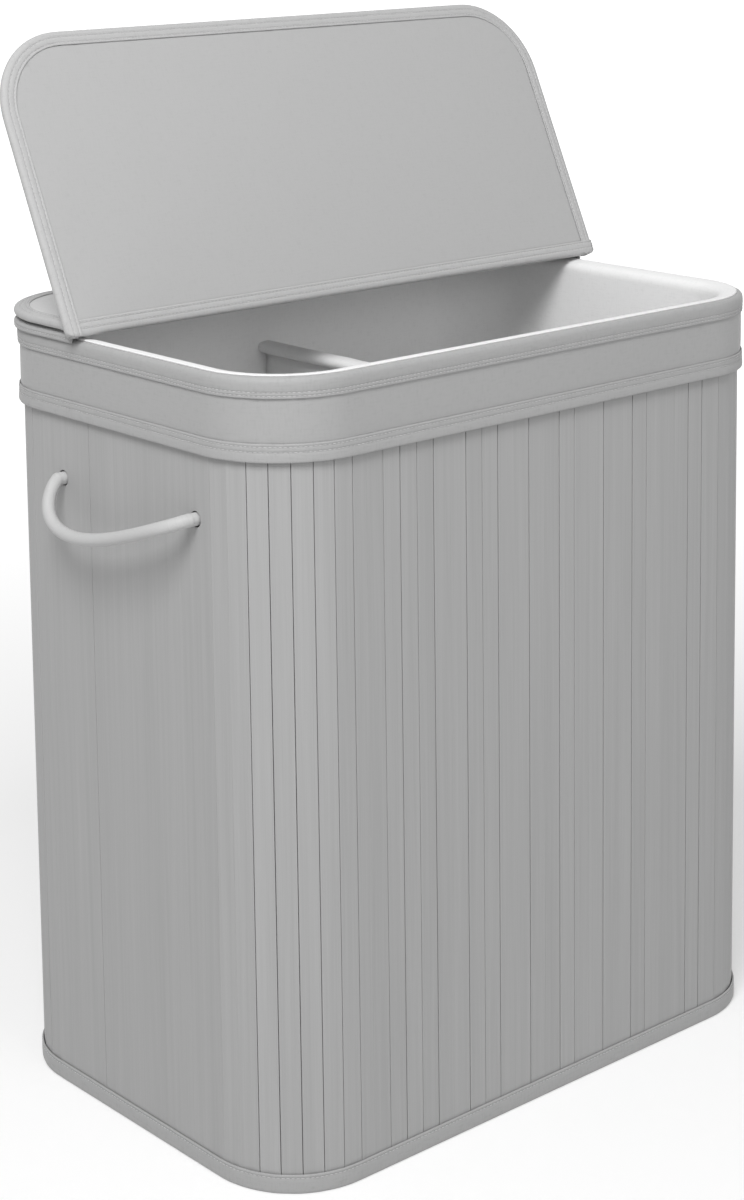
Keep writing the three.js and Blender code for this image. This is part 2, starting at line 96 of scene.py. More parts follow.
def apply_place():
    """Puts the place, turn and size of what is selected into its mesh."""
    bpy.ops.object.transform_apply(location=True, rotation=True, scale=True)


def start_from(add, name, extent=(1, 1, 1), **settings):
    """Adds a primitive as the start of a piece, at its size and place."""
    bpy.ops.object.select_all(action="DESELECT")
    add(**settings)
    piece = bpy.context.object
    piece.name = name
    piece.scale = extent
    apply_place()
    return piece


@contextmanager
def editing(action=None):
    """Edit mode, on what is chosen already or with all or nothing selected."""
    bpy.ops.object.mode_set(mode="EDIT")
    if action:
        bpy.ops.mesh.select_all(action=action)
    yield
    bpy.ops.object.mode_set(mode="OBJECT")


def modify(piece, kind, **settings):
    """Adds a modifier to a piece and applies it."""
    select_only(piece)
    modifier = piece.modifiers.new(kind.lower(), kind)
    for key, value in settings.items():
        setattr(modifier, key, value)
    bpy.ops.object.modifier_apply(modifier=modifier.name)


def join(name, pieces):
    """Joins the pieces into one object at the origin."""
    bpy.ops.object.select_all(action="DESELECT")
    for piece in pieces:
        piece.select_set(True)
    bpy.context.view_layer.objects.active = pieces[0]
    bpy.ops.object.join()
    pieces[0].name = name
    return pieces[0]


def coat(piece, finish):
    """Gives a piece one finish all over."""
    piece.data.materials.clear()
    piece.data.materials.append(finish)


def hand_over(piece, slot, *nodes, body="hamper"):
    """Fixes a piece to its body, in the place of the CAD nodes that it stands for."""
    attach(piece, body)
    if nodes:
        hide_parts(*nodes)


def spread_to_floor(piece):
    """The walls stand a little further out at the floor than at the rim."""
    for vertex in piece.data.vertices:
        fall = max(0, 1 - vertex.co.z / rim_height)
        vertex.co.x *= 1 + 2 * floor_spread / wall_length * fall
        vertex.co.y *= 1 + 2 * floor_spread / wall_depth * fall


def linear(hex_colour):
    """An sRGB hex colour as linear values."""
    values = [int(hex_colour[i:i + 2], 16) / 255 for i in (1, 3, 5)]
    return [v / 12.92 if v <= 0.04045 else ((v + 0.055) / 1.055) ** 2.4 for v in values] + [1]


def new_finish(name):
    """A new material and its empty node tree."""
    finish = bpy.data.materials.new(name)
    finish.use_nodes = True
    finish.node_tree.nodes.clear()
    return finish, finish.node_tree


def add_node(tree, kind, inputs=(), **settings):
    """Adds a shader node. An input is a socket with what it links to, or with its value; settings name
    sockets or properties."""
    node = tree.nodes.new("ShaderNode" + kind)
    for key, value in settings.items():
        named = [socket for socket in node.inputs if socket.name.lower().replace(" ", "_") == key]
        if named:
            named[0].default_value = value
        else:
            setattr(node, key, value)
    for socket, source in inputs:
        if isinstance(source, bpy.types.Node):
            source = source.outputs[0]
        if isinstance(source, bpy.types.NodeSocket):
            tree.links.new(source, node.inputs[socket])
        else:
            node.inputs[socket].default_value = source
    return node


def painted_bamboo():
    """Split bamboo under one coat of matt grey paint: straight fibres show as faint upright streaks, and each
    slat took the paint a little differently. The fibres are drawn 0.8 mm wide, twice the real width."""
    fibre_size = (0.8 * mm, 120 * mm)
    band_size = (5 * mm, 300 * mm)
    band_share = 0.45
    slat_tone_share = 0.1
    grain_jump = 40
    finish, tree = new_finish("painted bamboo slat")
    place = add_node(tree, "UVMap", uv_map="slat")
    parts = add_node(tree, "SeparateXYZ", [(0, place)])
    count = add_node(tree, "Math", [(0, parts), (1, slat_pitch)], operation="DIVIDE")
    whole = add_node(tree, "Math", [(0, count)], operation="FLOOR")
    slat_tone = add_node(tree, "TexWhiteNoise", [("W", whole)], noise_dimensions="1D").outputs["Value"]
    depth = add_node(tree, "Math", [(0, slat_tone), (1, grain_jump)], operation="MULTIPLY")
    grain_place = add_node(tree, "CombineXYZ", [(0, parts), (1, parts.outputs[1]), (2, depth)])
    grains = []
    for (width, length), detail, roughness in ((fibre_size, 3, 0.6), (band_size, 2, 0.5)):
        drawn = add_node(tree, "Mapping", [(0, grain_place), ("Scale", (1 / width, 1 / length, 1))])
        grains.append(add_node(tree, "TexNoise", [(0, drawn)], scale=1, detail=detail, roughness=roughness))
    streak = add_node(tree, "Mix", [(0, band_share), (2, grains[0]), (3, grains[1])], data_type="FLOAT")
    tone = add_node(tree, "Mix", [(0, slat_tone_share), (2, streak), (3, slat_tone)], data_type="FLOAT")
    colour = add_node(tree, "ValToRGB", [(0, tone)])
    for stop, position, shade in zip(colour.color_ramp.elements, (0.25, 0.75), ("#a4a4a4", "#b3b3b3")):
        stop.position = position
        stop.color = linear(shade)
    bump = add_node(tree, "Bump", [("Height", streak)], strength=0.25, distance=0.1 * mm)
    rough = add_node(tree, "MapRange", [(0, streak)], to_min=0.5, to_max=0.66)
    paint = add_node(tree, "BsdfPrincipled",
                     [("Base Color", colour), ("Roughness", rough), ("Normal", bump)])
    add_node(tree, "OutputMaterial", [(0, paint)])
    return finish


slat_paint = painted_bamboo()
plain_slat = start_from(bpy.ops.mesh.primitive_cube_add, "slat", (1, slat_thickness, slat_head - slat_foot),
                        size=1, location=(0, slat_thickness / 2, (slat_foot + slat_head) / 2))
with editing():
    for cut in range(1, slat_cuts + 1):
        height = slat_foot + (slat_head - slat_foot) * cut / (slat_cuts + 1)
        bpy.ops.mesh.select_all(action="SELECT")
        bpy.ops.mesh.bisect(plane_co=(0, 0, height), plane_no=(0, 0, 1))


def lay_slat(place, width, left_joint, right_joint, back_share=1.0):
    """One slat of a mat: its sides keep half a joint clear and waver a little, its edges are worn round where
    the joint stands open, and it leans by a hair. The slats of a corner are narrower at the back."""
    slat = plain_slat.copy()
    slat.data = plain_slat.data.copy()
    bpy.context.collection.objects.link(slat)
    wavers = {}
    for vertex in slat.data.vertices:
        side = 1 if vertex.co.x > 0 else -1
        level = (side, round(vertex.co.z, 4))
        if level not in wavers:
            wavers[level] = hand.uniform(-slat_waver, slat_waver)
        reach = width / 2 - (right_joint if side > 0 else left_joint) / 2 + wavers[level]
        vertex.co.x = side * reach * (back_share if vertex.co.y > slat_thickness / 2 else 1)
    weights = slat.data.attributes.new("bevel_weight_edge", "FLOAT", "EDGE")
    for edge, weight in zip(slat.data.edges, weights.data):
        a, b = (slat.data.vertices[i].co for i in edge.vertices)
        if abs(a.z - b.z) > mm and abs(a.y - b.y) < touch:
            joint = right_joint if a.x > 0 else left_joint
            weight.value = 1 if joint > tight_joint else 0
    modify(slat, "BEVEL", limit_method="WEIGHT", width=slat_edge_round, segments=2)
    uv = slat.data.uv_layers.new(name="slat")
    middle = (next(slat_numbers) + 0.5) * slat_pitch
    for loop, uv_point in zip(slat.data.loops, uv.data):
        corner = slat.data.vertices[loop.vertex_index].co
        uv_point.uv = (middle + corner.x, corner.z)
    slat.data.transform(place @ Matrix.Rotation(hand.uniform(-slat_lean, slat_lean), 4, "Z"))
    return slat


def joint_width(run, number):
    """How far a joint stands open: those in front and at the corners as seen, the others by chance."""
    if run == "front":
        if number in open_front_joints:
            return open_joint
        return parted_joint if number in parted_front_joints else tight_joint
    if run == "corner":
        return corner_joint if number > 1 else tight_joint
    if run == "rear":
        return hand.choice((tight_joint, tight_joint, parted_joint, open_joint))
    return hand.choice((tight_joint, tight_joint, tight_joint, tight_joint, parted_joint))


def lay_straight_mat(run, count, length, place):
    """A flat mat of slats from left to right as seen from outside. The joints at its two ends lie a little
    to the right, because the slats don't start anew at a corner."""
    joints = [joint_width(run, number) for number in range(count + 1)]
    lines = [number * length / count - length / 2 for number in range(count + 1)]
    lines[0] += joint_shift
    lines[-1] += joint_shift
    return [lay_slat(place @ Matrix.Translation(((lines[number] + lines[number + 1]) / 2, 0, 0)),
                     lines[number + 1] - lines[number], joints[number], joints[number + 1])
            for number in range(count)]


def finish_mat(name, slats, node):
    """Joins a mat, spreads it to the floor and hands it over in the place of its CAD node."""
    mat = join(name, slats)
    spread_to_floor(mat)
    coat(mat, slat_paint)
    select_only(mat)
    bpy.ops.object.shade_smooth_by_angle(angle=smooth_angle)
    hand_over(mat, "painted_slats", node)


for run, turn in (("front", 0), ("rear", 2)):
    place = Matrix.Rotation(turn * quarter, 4, "Z") @ Matrix.Translation((0, -wall_depth / 2, 0))
    finish_mat(run + "_slats", lay_straight_mat(run, slats_along_front, flat_length, place),
               "slat_panel_" + run)

# End walls. The same mats, with two holes drilled through each for the rope, 12 mm wide. Each slat is drilled
# by itself, because slats that touch aren't one closed solid.
ends = (("left", -1), ("right", 1))
hole_radius = 6 * mm
hole_depth = 12 * mm


def drill_holes(piece, end, side, depth):
    """Cuts the two rope holes at one end of the hamper through a closed piece."""
    drills = []
    for hole in ("rear", "front"):
        low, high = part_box(f"{end}_{hole}_rope_end")
        middle = (low + high) / 2
        place = (side * wall_length / 2, middle.y, middle.z)
        drills.append(start_from(bpy.ops.mesh.primitive_cylinder_add, "drill", vertices=40, depth=depth,
                                 radius=hole_radius, location=place, rotation=(0, quarter, 0)))
    drill = join("drill", drills)
    modify(piece, "BOOLEAN", operation="DIFFERENCE", object=drill, solver="EXACT")
    bpy.data.objects.remove(drill)


for end, side in ends:
    place = Matrix.Rotation(side * quarter, 4, "Z") @ Matrix.Translation((0, -wall_length / 2, 0))
    slats = lay_straight_mat(end, slats_along_side, flat_depth, place)
    for slat in slats:
        drill_holes(slat, end, side, hole_depth)
    finish_mat(end + "_slats", slats, "slat_panel_" + end)

# Corners. Seven narrow slats of the mat turn each corner, a flat each, and all but the first two joints part
# a little where the cloth behind them bends.
corner_turn = quarter / slats_round_corner
flat_radius = corner_radius * math.cos(corner_turn / 2)
corner_flat = 2 * corner_radius * math.sin(corner_turn / 2)
corner_back_share = 1 - slat_thickness / corner_radius
for name, side_x, side_y in (("rear_right", 1, 1), ("rear_left", -1, 1), ("front_left", -1, -1),
                             ("front_right", 1, -1)):
    middle = Matrix.Translation((side_x * flat_length / 2, side_y * flat_depth / 2, 0))
    facing = math.atan2(side_y, side_x) + quarter
    slats = []
    for number in range(slats_round_corner):
        angle = facing + (number - (slats_round_corner - 1) / 2) * corner_turn + joint_shift / corner_radius
        place = middle @ Matrix.Rotation(angle, 4, "Z") @ Matrix.Translation((0, -flat_radius, 0))
        joints = joint_width("corner", number), joint_width("corner", number + 1)
        slats.append(lay_slat(place, corner_flat, *joints, corner_back_share))
    finish_mat(name + "_slats", slats, "slat_corner_" + name)
bpy.data.objects.remove(plain_slat)

# Backing cloth. A grey polyester-cotton cloth, woven plain, goes once round inside the slats. They are glued
# to it, so that it is the hinge between them at the corners, and the rope holes are drilled through both.
merge_gap = mm / 100
thread_spacing = 0.9 * mm
path_step = 5 * mm
backing_step = 12 * mm
seam_shift = 2
Plan = namedtuple("Plan", "left right front rear front_radius rear_radius")


def woven(name, dark, light, relief, roughness, spacing=thread_spacing):
    """A plain weave: threads go over and under each other in a checker of small humps, and slight slubs
    vary the tone. The threads are drawn wider than they are, so that the weave shows."""
    slub_length = 9 * mm
    slub_width = 1.3 * mm
    checker_share = 0.12
    finish, tree = new_finish(name)
    place = add_node(tree, "UVMap", uv_map="cloth")
    parts = add_node(tree, "SeparateXYZ", [(0, place)])
    humps = []
    slubs = []
    for axis, slub in enumerate(((slub_length, slub_width), (slub_width, slub_length))):
        scaled = add_node(tree, "Math", [(0, parts.outputs[axis]), (1, math.pi / spacing)],
                          operation="MULTIPLY")
        humps.append(add_node(tree, "Math", [(0, scaled)], operation="SINE"))
        drawn = add_node(tree, "Mapping", [(0, place), ("Scale", (1 / slub[0], 1 / slub[1], 1))])
        slubs.append(add_node(tree, "TexNoise", [(0, drawn)], scale=1, detail=2))
    checker = add_node(tree, "Math", enumerate(humps), operation="MULTIPLY")
    uneven = add_node(tree, "Math", enumerate(slubs), operation="ADD")
    tone = add_node(tree, "Math", [(0, checker), (1, checker_share), (2, uneven)],
                    operation="MULTIPLY_ADD")
    colour = add_node(tree, "ValToRGB", [(0, tone)])
    for stop, position, shade in zip(colour.color_ramp.elements, (0.55, 1), (dark, light)):
        stop.position = position
        stop.color = linear(shade)
    bump = add_node(tree, "Bump", [("Height", tone)], strength=0.5, distance=relief)
    cloth = add_node(tree, "BsdfPrincipled", [("Base Color", colour), ("Normal", bump)],
                     roughness=roughness, sheen_weight=0.08, sheen_roughness=0.5)
    add_node(tree, "OutputMaterial", [(0, cloth)])
    return finish


def past_flats(point):
    """How far a point lies past the ends of the flat walls, along X and along Y."""
    return abs(point.x) - flat_length / 2, abs(point.y) - flat_depth / 2


def along_wall(point):
    """How far round the wall a point lies, from the middle of the rear wall clockwise seen from above."""
    past_x, past_y = past_flats(point)
    if past_x <= 0:
        way = abs(point.x)
    elif past_y <= 0:
        way = flat_length / 2 + corner_radius * quarter - past_y
    else:
        way = flat_length / 2 + corner_radius * math.atan2(past_x, past_y)
    round_trip = 2 * (flat_length + flat_depth) + 4 * corner_radius * quarter
    if point.y >= 0:
        return way if point.x >= 0 else round_trip - way
    return round_trip / 2 - way if point.x >= 0 else round_trip / 2 + way


def round_the_wall(point):
    """Where a point of a ring lies on its cloth: along the wall and up it."""
    return along_wall(point), point.z


def lay_map(piece, layer, points, shifts):
    """Lays each vertex at its point of a UV map in metres. In the faces that close a ring, the first points
    are shifted past the last ones, so that the seam stays whole."""
    uv = piece.data.uv_layers.get(layer) or piece.data.uv_layers.new(name=layer)
    for face in piece.data.polygons:
        corners = [points[piece.data.loops[i].vertex_index] for i in face.loop_indices]
        far = [max(values) for values in zip(*corners)]
        for i, corner in zip(face.loop_indices, corners):
            uv.data[i].uv = [value + shift if shift and end - value > shift / 2 else value
                             for value, shift, end in zip(corner, shifts, far)]


def lay_weave(piece, place):
    """Lays cloth on its weave, by a function of each point."""
    lay_map(piece, "cloth", [place(vertex.co) for vertex in piece.data.vertices], (seam_shift, 0))


def choose_vertices(piece, wanted):
    """Selects the vertices whose place passes a test."""
    with editing("DESELECT"):
        bpy.ops.mesh.select_mode(type="VERT")
    for vertex in piece.data.vertices:
        vertex.select = wanted(vertex.co)


def choose_edges(piece, wanted):
    """Selects the edges whose two ends pass a test."""
    with editing("DESELECT"):
        bpy.ops.mesh.select_mode(type="EDGE")
    for edge in piece.data.edges:
        edge.select = wanted(*(piece.data.vertices[i].co for i in edge.vertices))


def lay_over(add, name, plan, height, **settings):
    """A flat primitive that covers a plan, which is a rectangle seen from above."""
    extent = (plan.right - plan.left, plan.rear - plan.front, 1)
    middle = ((plan.left + plan.right) / 2, (plan.front + plan.rear) / 2, height)
    return start_from(add, name, extent, size=1, location=middle, **settings)


def outline(plan, height, step=path_step, open_side=None):
    """The edge of a plan with its corners rounded, as a path with the outside on its right hand. It has a
    point every step, and one side can be left open."""
    path = lay_over(bpy.ops.mesh.primitive_plane_add, "path", plan, height)
    for radius, edge_y in ((plan.front_radius, plan.front), (plan.rear_radius, plan.rear)):
        if radius > 0:
            choose_vertices(path, lambda place: abs(place.y - edge_y) < touch)
            with editing():
                bpy.ops.mesh.bevel(offset=radius, segments=max(4, round(radius * quarter / step)),
                                   profile=0.5, affect="VERTICES")
    with editing("SELECT"):
        bpy.ops.mesh.delete(type="ONLY_FACE")
    if open_side:
        open_y = getattr(plan, open_side)
        choose_edges(path, lambda a, b: abs(a.y - open_y) < touch and abs(b.y - open_y) < touch)
        with editing():
            bpy.ops.mesh.delete(type="EDGE")

    def steps_between(a, b):
        return round((a - b).length / step)

    corners = path.data.vertices
    counts = {steps_between(*(corners[i].co for i in edge.vertices)) for edge in path.data.edges}
    for count in sorted(counts, reverse=True):
        if count > 1:
            choose_edges(path, lambda a, b: steps_between(a, b) == count)
            with editing():
                bpy.ops.mesh.subdivide(number_cuts=count - 1)
    with editing("SELECT"):
        bpy.ops.mesh.select_mode(type="VERT")
    select_only(path)
    bpy.ops.object.convert(target="CURVE")
    path = bpy.context.object
    points = [Vector(point.co[:2]) for point in path.data.splines[0].points]
    turn = sum((b - a).cross(c - b) for a, b, c in zip(points, points[1:], points[2:]))
    if turn < 0:
        select_only(path)
        bpy.ops.object.mode_set(mode="EDIT")
        bpy.ops.curve.select_all(action="SELECT")
        bpy.ops.curve.switch_direction()
        bpy.ops.object.mode_set(mode="OBJECT")
    path.data.dimensions = "3D"
    path.data.twist_mode = "Z_UP"
    return path


def wall_plan(offset):
    """The plan of the whole wall, at an offset outside the slats' face."""
    x = wall_length / 2 + offset
    y = wall_depth / 2 + offset
    return Plan(-x, x, -y, y, corner_radius + offset, corner_radius + offset)


def wall_path(offset, height, step=path_step):
    """The line round the whole wall, at an offset outside the slats' face."""
    return outline(wall_plan(offset), height, step)


def draw_curve(name, points, closed=False):
    """A curve drawn from point to point."""
    data = bpy.data.curves.new(name, "CURVE")
    data.dimensions = "3D"
    spline = data.splines.new("POLY")
    spline.points.add(len(points) - 1)
    for point, place in zip(spline.points, points):
        point.co = (*place, 1)
    spline.use_cyclic_u = closed
    curve = bpy.data.objects.new(name, data)
    bpy.context.collection.objects.link(curve)
    return curve


def sew_tape(name, path, section, finish, soft=True):
    """Leads a closed section, in (outward, upward) millimetres, along a path, softens its folds and then
    closes its cut ends, which smoothing would draw in."""
    profile = draw_curve("section", [(out * mm, up * mm, 0) for out, up in section], closed=True)
    profile.data.dimensions = "2D"
    select_only(path)
    path.data.bevel_mode = "OBJECT"
    path.data.bevel_object = profile
    bpy.ops.object.convert(target="MESH")
    tape = bpy.context.object
    bpy.data.objects.remove(profile)
    tape.name = name
    with editing("SELECT"):
        bpy.ops.mesh.remove_doubles(threshold=merge_gap)
    if soft:
        modify(tape, "SUBSURF", levels=1, render_levels=1)
    with editing("SELECT"):
        bpy.ops.mesh.fill_holes(sides=0)
        bpy.ops.mesh.normals_make_consistent(inside=False)
    bpy.ops.object.shade_smooth()
    coat(tape, finish)
    return tape


band_cloth = woven("grey plain-weave cloth", "#a3a3a3", "#acacac", 0.1 * mm, 0.55)
backing = sew_tape("backing_cloth", wall_path(0, 0, backing_step), [
    (-3.35, 1.6), (-3.35, 200), (-3.35, 400), (-3.35, 599.5), (-4.05, 599.5), (-4.05, 400), (-4.05, 200),
    (-4.05, 1.6)], band_cloth, soft=False)
spread_to_floor(backing)
lay_weave(backing, round_the_wall)
hand_over(backing, "band_cloth", "wall_backing_cloth")
for end, side in ends:
    drill_holes(backing, end, side, 3 * hole_depth)

# Foot. A tape cut from the same cloth is folded round the lower edge of the mats and lockstitched near its
# upper edge with a paler thread.
thread_width = 0.55 * mm
stitch_length = 2.7 * mm
stitch_pitch = 3.5 * mm
flat_pucker_share = 0.5
corner_pucker_share = 0.8
hem_pucker = (0.22 * mm, 9 * mm, 20 * mm, 3)
hem_row_offset = 1.75 * mm
hem_row_height = 12.5 * mm


def spun_thread(name, colour):
    """Spun polyester thread, matt, with the faint unevenness of its short fibres."""
    fibre_size = 0.4 * mm
    finish, tree = new_finish(name)
    place = add_node(tree, "TexCoord").outputs["Object"]
    fuzz = add_node(tree, "TexNoise", [(0, place)], scale=1 / fibre_size, detail=1)
    brighten = add_node(tree, "MapRange", [(0, fuzz)], to_min=0.85, to_max=1.15)
    tone = add_node(tree, "HueSaturation", [("Value", brighten)], color=linear(colour))
    thread = add_node(tree, "BsdfPrincipled", [("Base Color", tone)], roughness=0.7)
    add_node(tree, "OutputMaterial", [(0, thread)])
    return finish


def out_of_wall(point):
    """The direction that points straight out of the wall."""
    past_x, past_y = (max(0, past) for past in past_flats(point))
    return Vector((math.copysign(past_x, point.x), math.copysign(past_y, point.y), 0)).normalized()


def corner_share(point):
    """1 in the middle of a corner, 0 on the straight walls."""
    past_x, past_y = past_flats(point)
    return math.sin(2 * math.atan2(past_x, past_y)) if past_x > 0 and past_y > 0 else 0


def ripple(along, up, wave, rise, seed):
    """Smooth noise between -1 and 1 that changes over one wave along a cloth and over one rise up it."""
    return noise.noise(Vector((along / wave, up / rise, seed)))


def pucker(piece, depth, wave, rise, seed):
    """Sewn cloth draws up between its stitches, most at the corners: noise moves it out and in."""
    for vertex in piece.data.vertices:
        swell = ripple(along_wall(vertex.co), vertex.co.z, wave, rise, seed)
        share = flat_pucker_share + corner_pucker_share * corner_share(vertex.co)
        vertex.co += out_of_wall(vertex.co) * depth * share * swell


def stitch(name, path):
    """A row of lockstitches along a path: one stitch, repeated by an array and bent round by a curve."""
    row = start_from(bpy.ops.mesh.primitive_uv_sphere_add, name, (thread_width, thread_width, stitch_length),
                     segments=6, ring_count=4, radius=0.5, rotation=(0, quarter, 0))
    modify(row, "ARRAY", fit_type="FIT_CURVE", curve=path, use_relative_offset=False,
           use_constant_offset=True, constant_offset_displace=(stitch_pitch, 0, 0))
    modify(row, "CURVE", object=path)
    bpy.data.objects.remove(path)
    bpy.ops.object.shade_smooth()
    coat(row, grey_thread)
    return row


tape_cloth = woven("grey cloth tape", "#a0a0a0", "#acacac", 0.12 * mm, 0.65)
grey_thread = spun_thread("grey sewing thread", "#cecece")
hem = sew_tape("base_hem", wall_path(0, 0), [
    (0.45, 14.2), (0.6, 15.0), (1.2, 15.15), (1.75, 14.6), (1.85, 13.4), (1.45, 12.7), (1.45, 12.3),
    (1.9, 11.6), (2.0, 8), (1.95, 4), (1.8, 1.6), (1.2, 0.25), (0, 0), (-3, 0), (-5, 0.05), (-6, 0.6),
    (-6, 6), (-6, 11.8), (-4.9, 11.8), (-4.85, 6), (-4.85, 1.3), (-1, 1.2), (0.4, 1.4), (0.5, 4),
    (0.5, 9)], tape_cloth)
hem_row = stitch("base_hem_stitches", wall_path(hem_row_offset, hem_row_height))
for piece in (hem, hem_row):
    spread_to_floor(piece)
    pucker(piece, *hem_pucker)
lay_weave(hem, round_the_wall)
hand_over(hem, "binding_tape", "base_hem_binding")
hand_over(hem_row, "binding_tape")

# Base. A sheet of the same cloth is sewn to the foot's tape inside, and two greyboard halves lie on it and
# fold up when the hamper is put away. The same board stiffens the rim, the bar and both halves of the lid.
base_plan = wall_plan(-6.3 * mm)
base_height = 0.6 * mm
base_thickness = 1 * mm
base_seam_width = 9 * mm


def laid_flat(point):
    """Where a point of a level cloth lies on it."""
    return point.x, point.y


def greyboard():
    """Pressed greyboard, bare: a warm grey with pale and dark fibres and a dull, slightly furred face."""
    fibre_size = 2.5 * mm
    finish, tree = new_finish("bare greyboard")
    place = add_node(tree, "TexCoord").outputs["Object"]
    fibres = add_node(tree, "TexNoise", [(0, place)], scale=1 / fibre_size, detail=5, roughness=0.7)
    colour = add_node(tree, "ValToRGB", [(0, fibres)])
    for stop, position, shade in zip(colour.color_ramp.elements, (0.3, 0.7), ("#8f8778", "#ada495")):
        stop.position = position
        stop.color = linear(shade)
    bump = add_node(tree, "Bump", [("Height", fibres)], strength=0.3, distance=0.1 * mm)
    face = add_node(tree, "BsdfPrincipled", [("Base Color", colour), ("Normal", bump)],
                    roughness=0.9)
    add_node(tree, "OutputMaterial", [(0, face)])
    return finish


base = lay_over(bpy.ops.mesh.primitive_plane_add, "base_cloth_sheet", base_plan, base_height)
with editing("SELECT"):
    bpy.ops.mesh.bevel(offset=base_plan.front_radius, segments=16, profile=0.5, affect="VERTICES")
    bpy.ops.mesh.select_all(action="SELECT")
    bpy.ops.mesh.inset(thickness=base_seam_width)
modify(base, "SOLIDIFY", thickness=base_thickness, offset=0)
spread_to_floor(base)
coat(base, band_cloth)
lay_weave(base, laid_flat)
hand_over(base, "band_cloth", "base_cloth")

board = greyboard()
for node in ("base_board_left", "base_board_right", "rim_stiffener", "rim_hoop", "divider_bar",
             "flap_board", "rear_strip_board"):
    coat(bpy.data.objects[node], board)

# Rim. A stiffened band of the same cloth covers the top of the mats; a tape is rolled over the top edge and
# another is sewn along the lower edge, each with two rows of stitches near its free edge.
tape_pucker = (0.3 * mm, 8 * mm, 30 * mm)
band_puckers = [(0.45 * mm, 60 * mm, 60 * mm, 5), (0.12 * mm, 8 * mm, 14 * mm, 6)]
top_seed = 7
lower_seed = 9


def standoff(point):
    """How far outside the slats' face a point lies, or inside it as a negative."""
    past_x, past_y = (max(0, past) for past in past_flats(point))
    return math.hypot(past_x, past_y) - corner_radius


def over_the_rim(point):
    """Where a point lies on a tape that goes up outside and turns in over the rim."""
    return along_wall(point), point.z - standoff(point)


def sew_ring(name, section, finish, puckers, place, slot, node):
    """A band or tape that goes once round the rim."""
    ring = sew_tape(name, wall_path(0, 0), section, finish)
    for draw in puckers:
        pucker(ring, *draw)
    spread_to_floor(ring)
    lay_weave(ring, place)
    hand_over(ring, slot, node)


sew_ring("rim_band", [
    (0.55, 599.6), (2.0, 599.6), (2.2, 589), (2.4, 583), (2.4, 576), (2.4, 566), (2.35, 560), (2.1, 555.5),
    (1.8, 546), (0.55, 546), (0.6, 558), (0.6, 574), (0.6, 590)],
    band_cloth, band_puckers, round_the_wall, "band_cloth", "rim_band_cover")
sew_ring("rim_top_tape", [
    (2.6, 588.6), (2.7, 588.1), (3.2, 588.1), (3.6, 588.5), (3.65, 589.4), (3.35, 589.8), (3.35, 590.3),
    (3.7, 590.7), (3.75, 591.8), (3.4, 592.2), (3.4, 592.8), (3.8, 593.3), (3.95, 595.5), (3.9, 598.2),
    (3.6, 600.2), (2.7, 601.8), (1.0, 602.8), (-1.6, 603.0), (-4.5, 602.7), (-7.5, 602.1), (-10.0, 601.2),
    (-11.9, 599.7), (-12.8, 597.4), (-13, 594), (-13, 588.2), (-11.7, 588.2), (-11.6, 594), (-11, 597.8),
    (-8, 599.9), (-4, 600.2), (0, 600.2), (2.0, 599.4), (2.5, 595)],
    tape_cloth, [(*tape_pucker, top_seed)], over_the_rim, "binding_tape", "rim_top_binding")
sew_ring("rim_lower_tape", [
    (2.5, 556.2), (2.6, 556.8), (3.1, 556.9), (3.55, 556.5), (3.6, 555.4), (3.3, 554.9), (3.3, 554.3),
    (3.6, 553.8), (3.65, 552.6), (3.6, 551.6), (3.3, 551.1), (3.3, 550.5), (3.65, 550.0), (3.9, 548),
    (4.0, 546), (4.0, 544.6), (3.8, 543.7), (3.2, 543.3), (2.6, 543.5), (2.3, 544.2), (2.2, 545.4),
    (2.4, 549)],
    tape_cloth, [(*tape_pucker, lower_seed)], round_the_wall, "binding_tape", "rim_lower_binding")

for name, height, offset, seed in (("top_tape_row_low", 590.05 * mm, 3.55 * mm, top_seed),
                                   ("top_tape_row_high", 592.5 * mm, 3.6 * mm, top_seed),
                                   ("lower_tape_row_high", 554.6 * mm, 3.5 * mm, lower_seed),
                                   ("lower_tape_row_low", 550.8 * mm, 3.5 * mm, lower_seed)):
    row = stitch(name, wall_path(offset, height))
    pucker(row, *tape_pucker, seed)
    spread_to_floor(row)
    hand_over(row, "binding_tape")

# Liner. A white polyester-cotton bag that lifts out. Its hem turns out over the rim, and below that it hangs
# to the base board with the soft upright folds of loose cloth.
liner_foot, liner_head = (corner.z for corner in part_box("liner_bag"))
liner_drop = liner_head - liner_foot
liner_offset = -15.6 * mm
liner_thickness = 0.8 * mm
liner_path_step = 6 * mm
liner_steps = 40
liner_step = liner_drop / liner_steps
floor_rings = 12
floor_lift = 1.1 * mm
floor_wave = 60 * mm
floor_edge = 4 * mm
fold_depth = 2.2 * mm
fold_shape = 0.6
fold_base_share = 0.9
fold_detail_share = 0.35
broad_wave = (70 * mm, 420 * mm, 1)
narrow_wave = (24 * mm, 150 * mm, 2)
slack_wave = (90 * mm, 90 * mm, 4)
slack_slant = 3 / 2
crease_wave = (9 * mm, 40 * mm, 5)
crease_slant = 9 / 16
crease_depth = 1.3 * mm
crease_reach = 45 * mm
crease_base_share = 0.5
crest_steps = 14
crest_line = [(0, 0), (0, 6.0), (1.2, 8.8), (3.4, 10.6), (6.2, 11.3), (9.2, 11.7), (12.2, 12.05),
              (14.6, 11.95)]


def over_crest(share):
    """Where the bag's upper edge turns out over the rim, for a share of the turn: (outward, upward)."""
    spot = share * (len(crest_line) - 1)
    index = min(int(spot), len(crest_line) - 2)
    return Vector(crest_line[index]).lerp(Vector(crest_line[index + 1]), spot - index) * mm


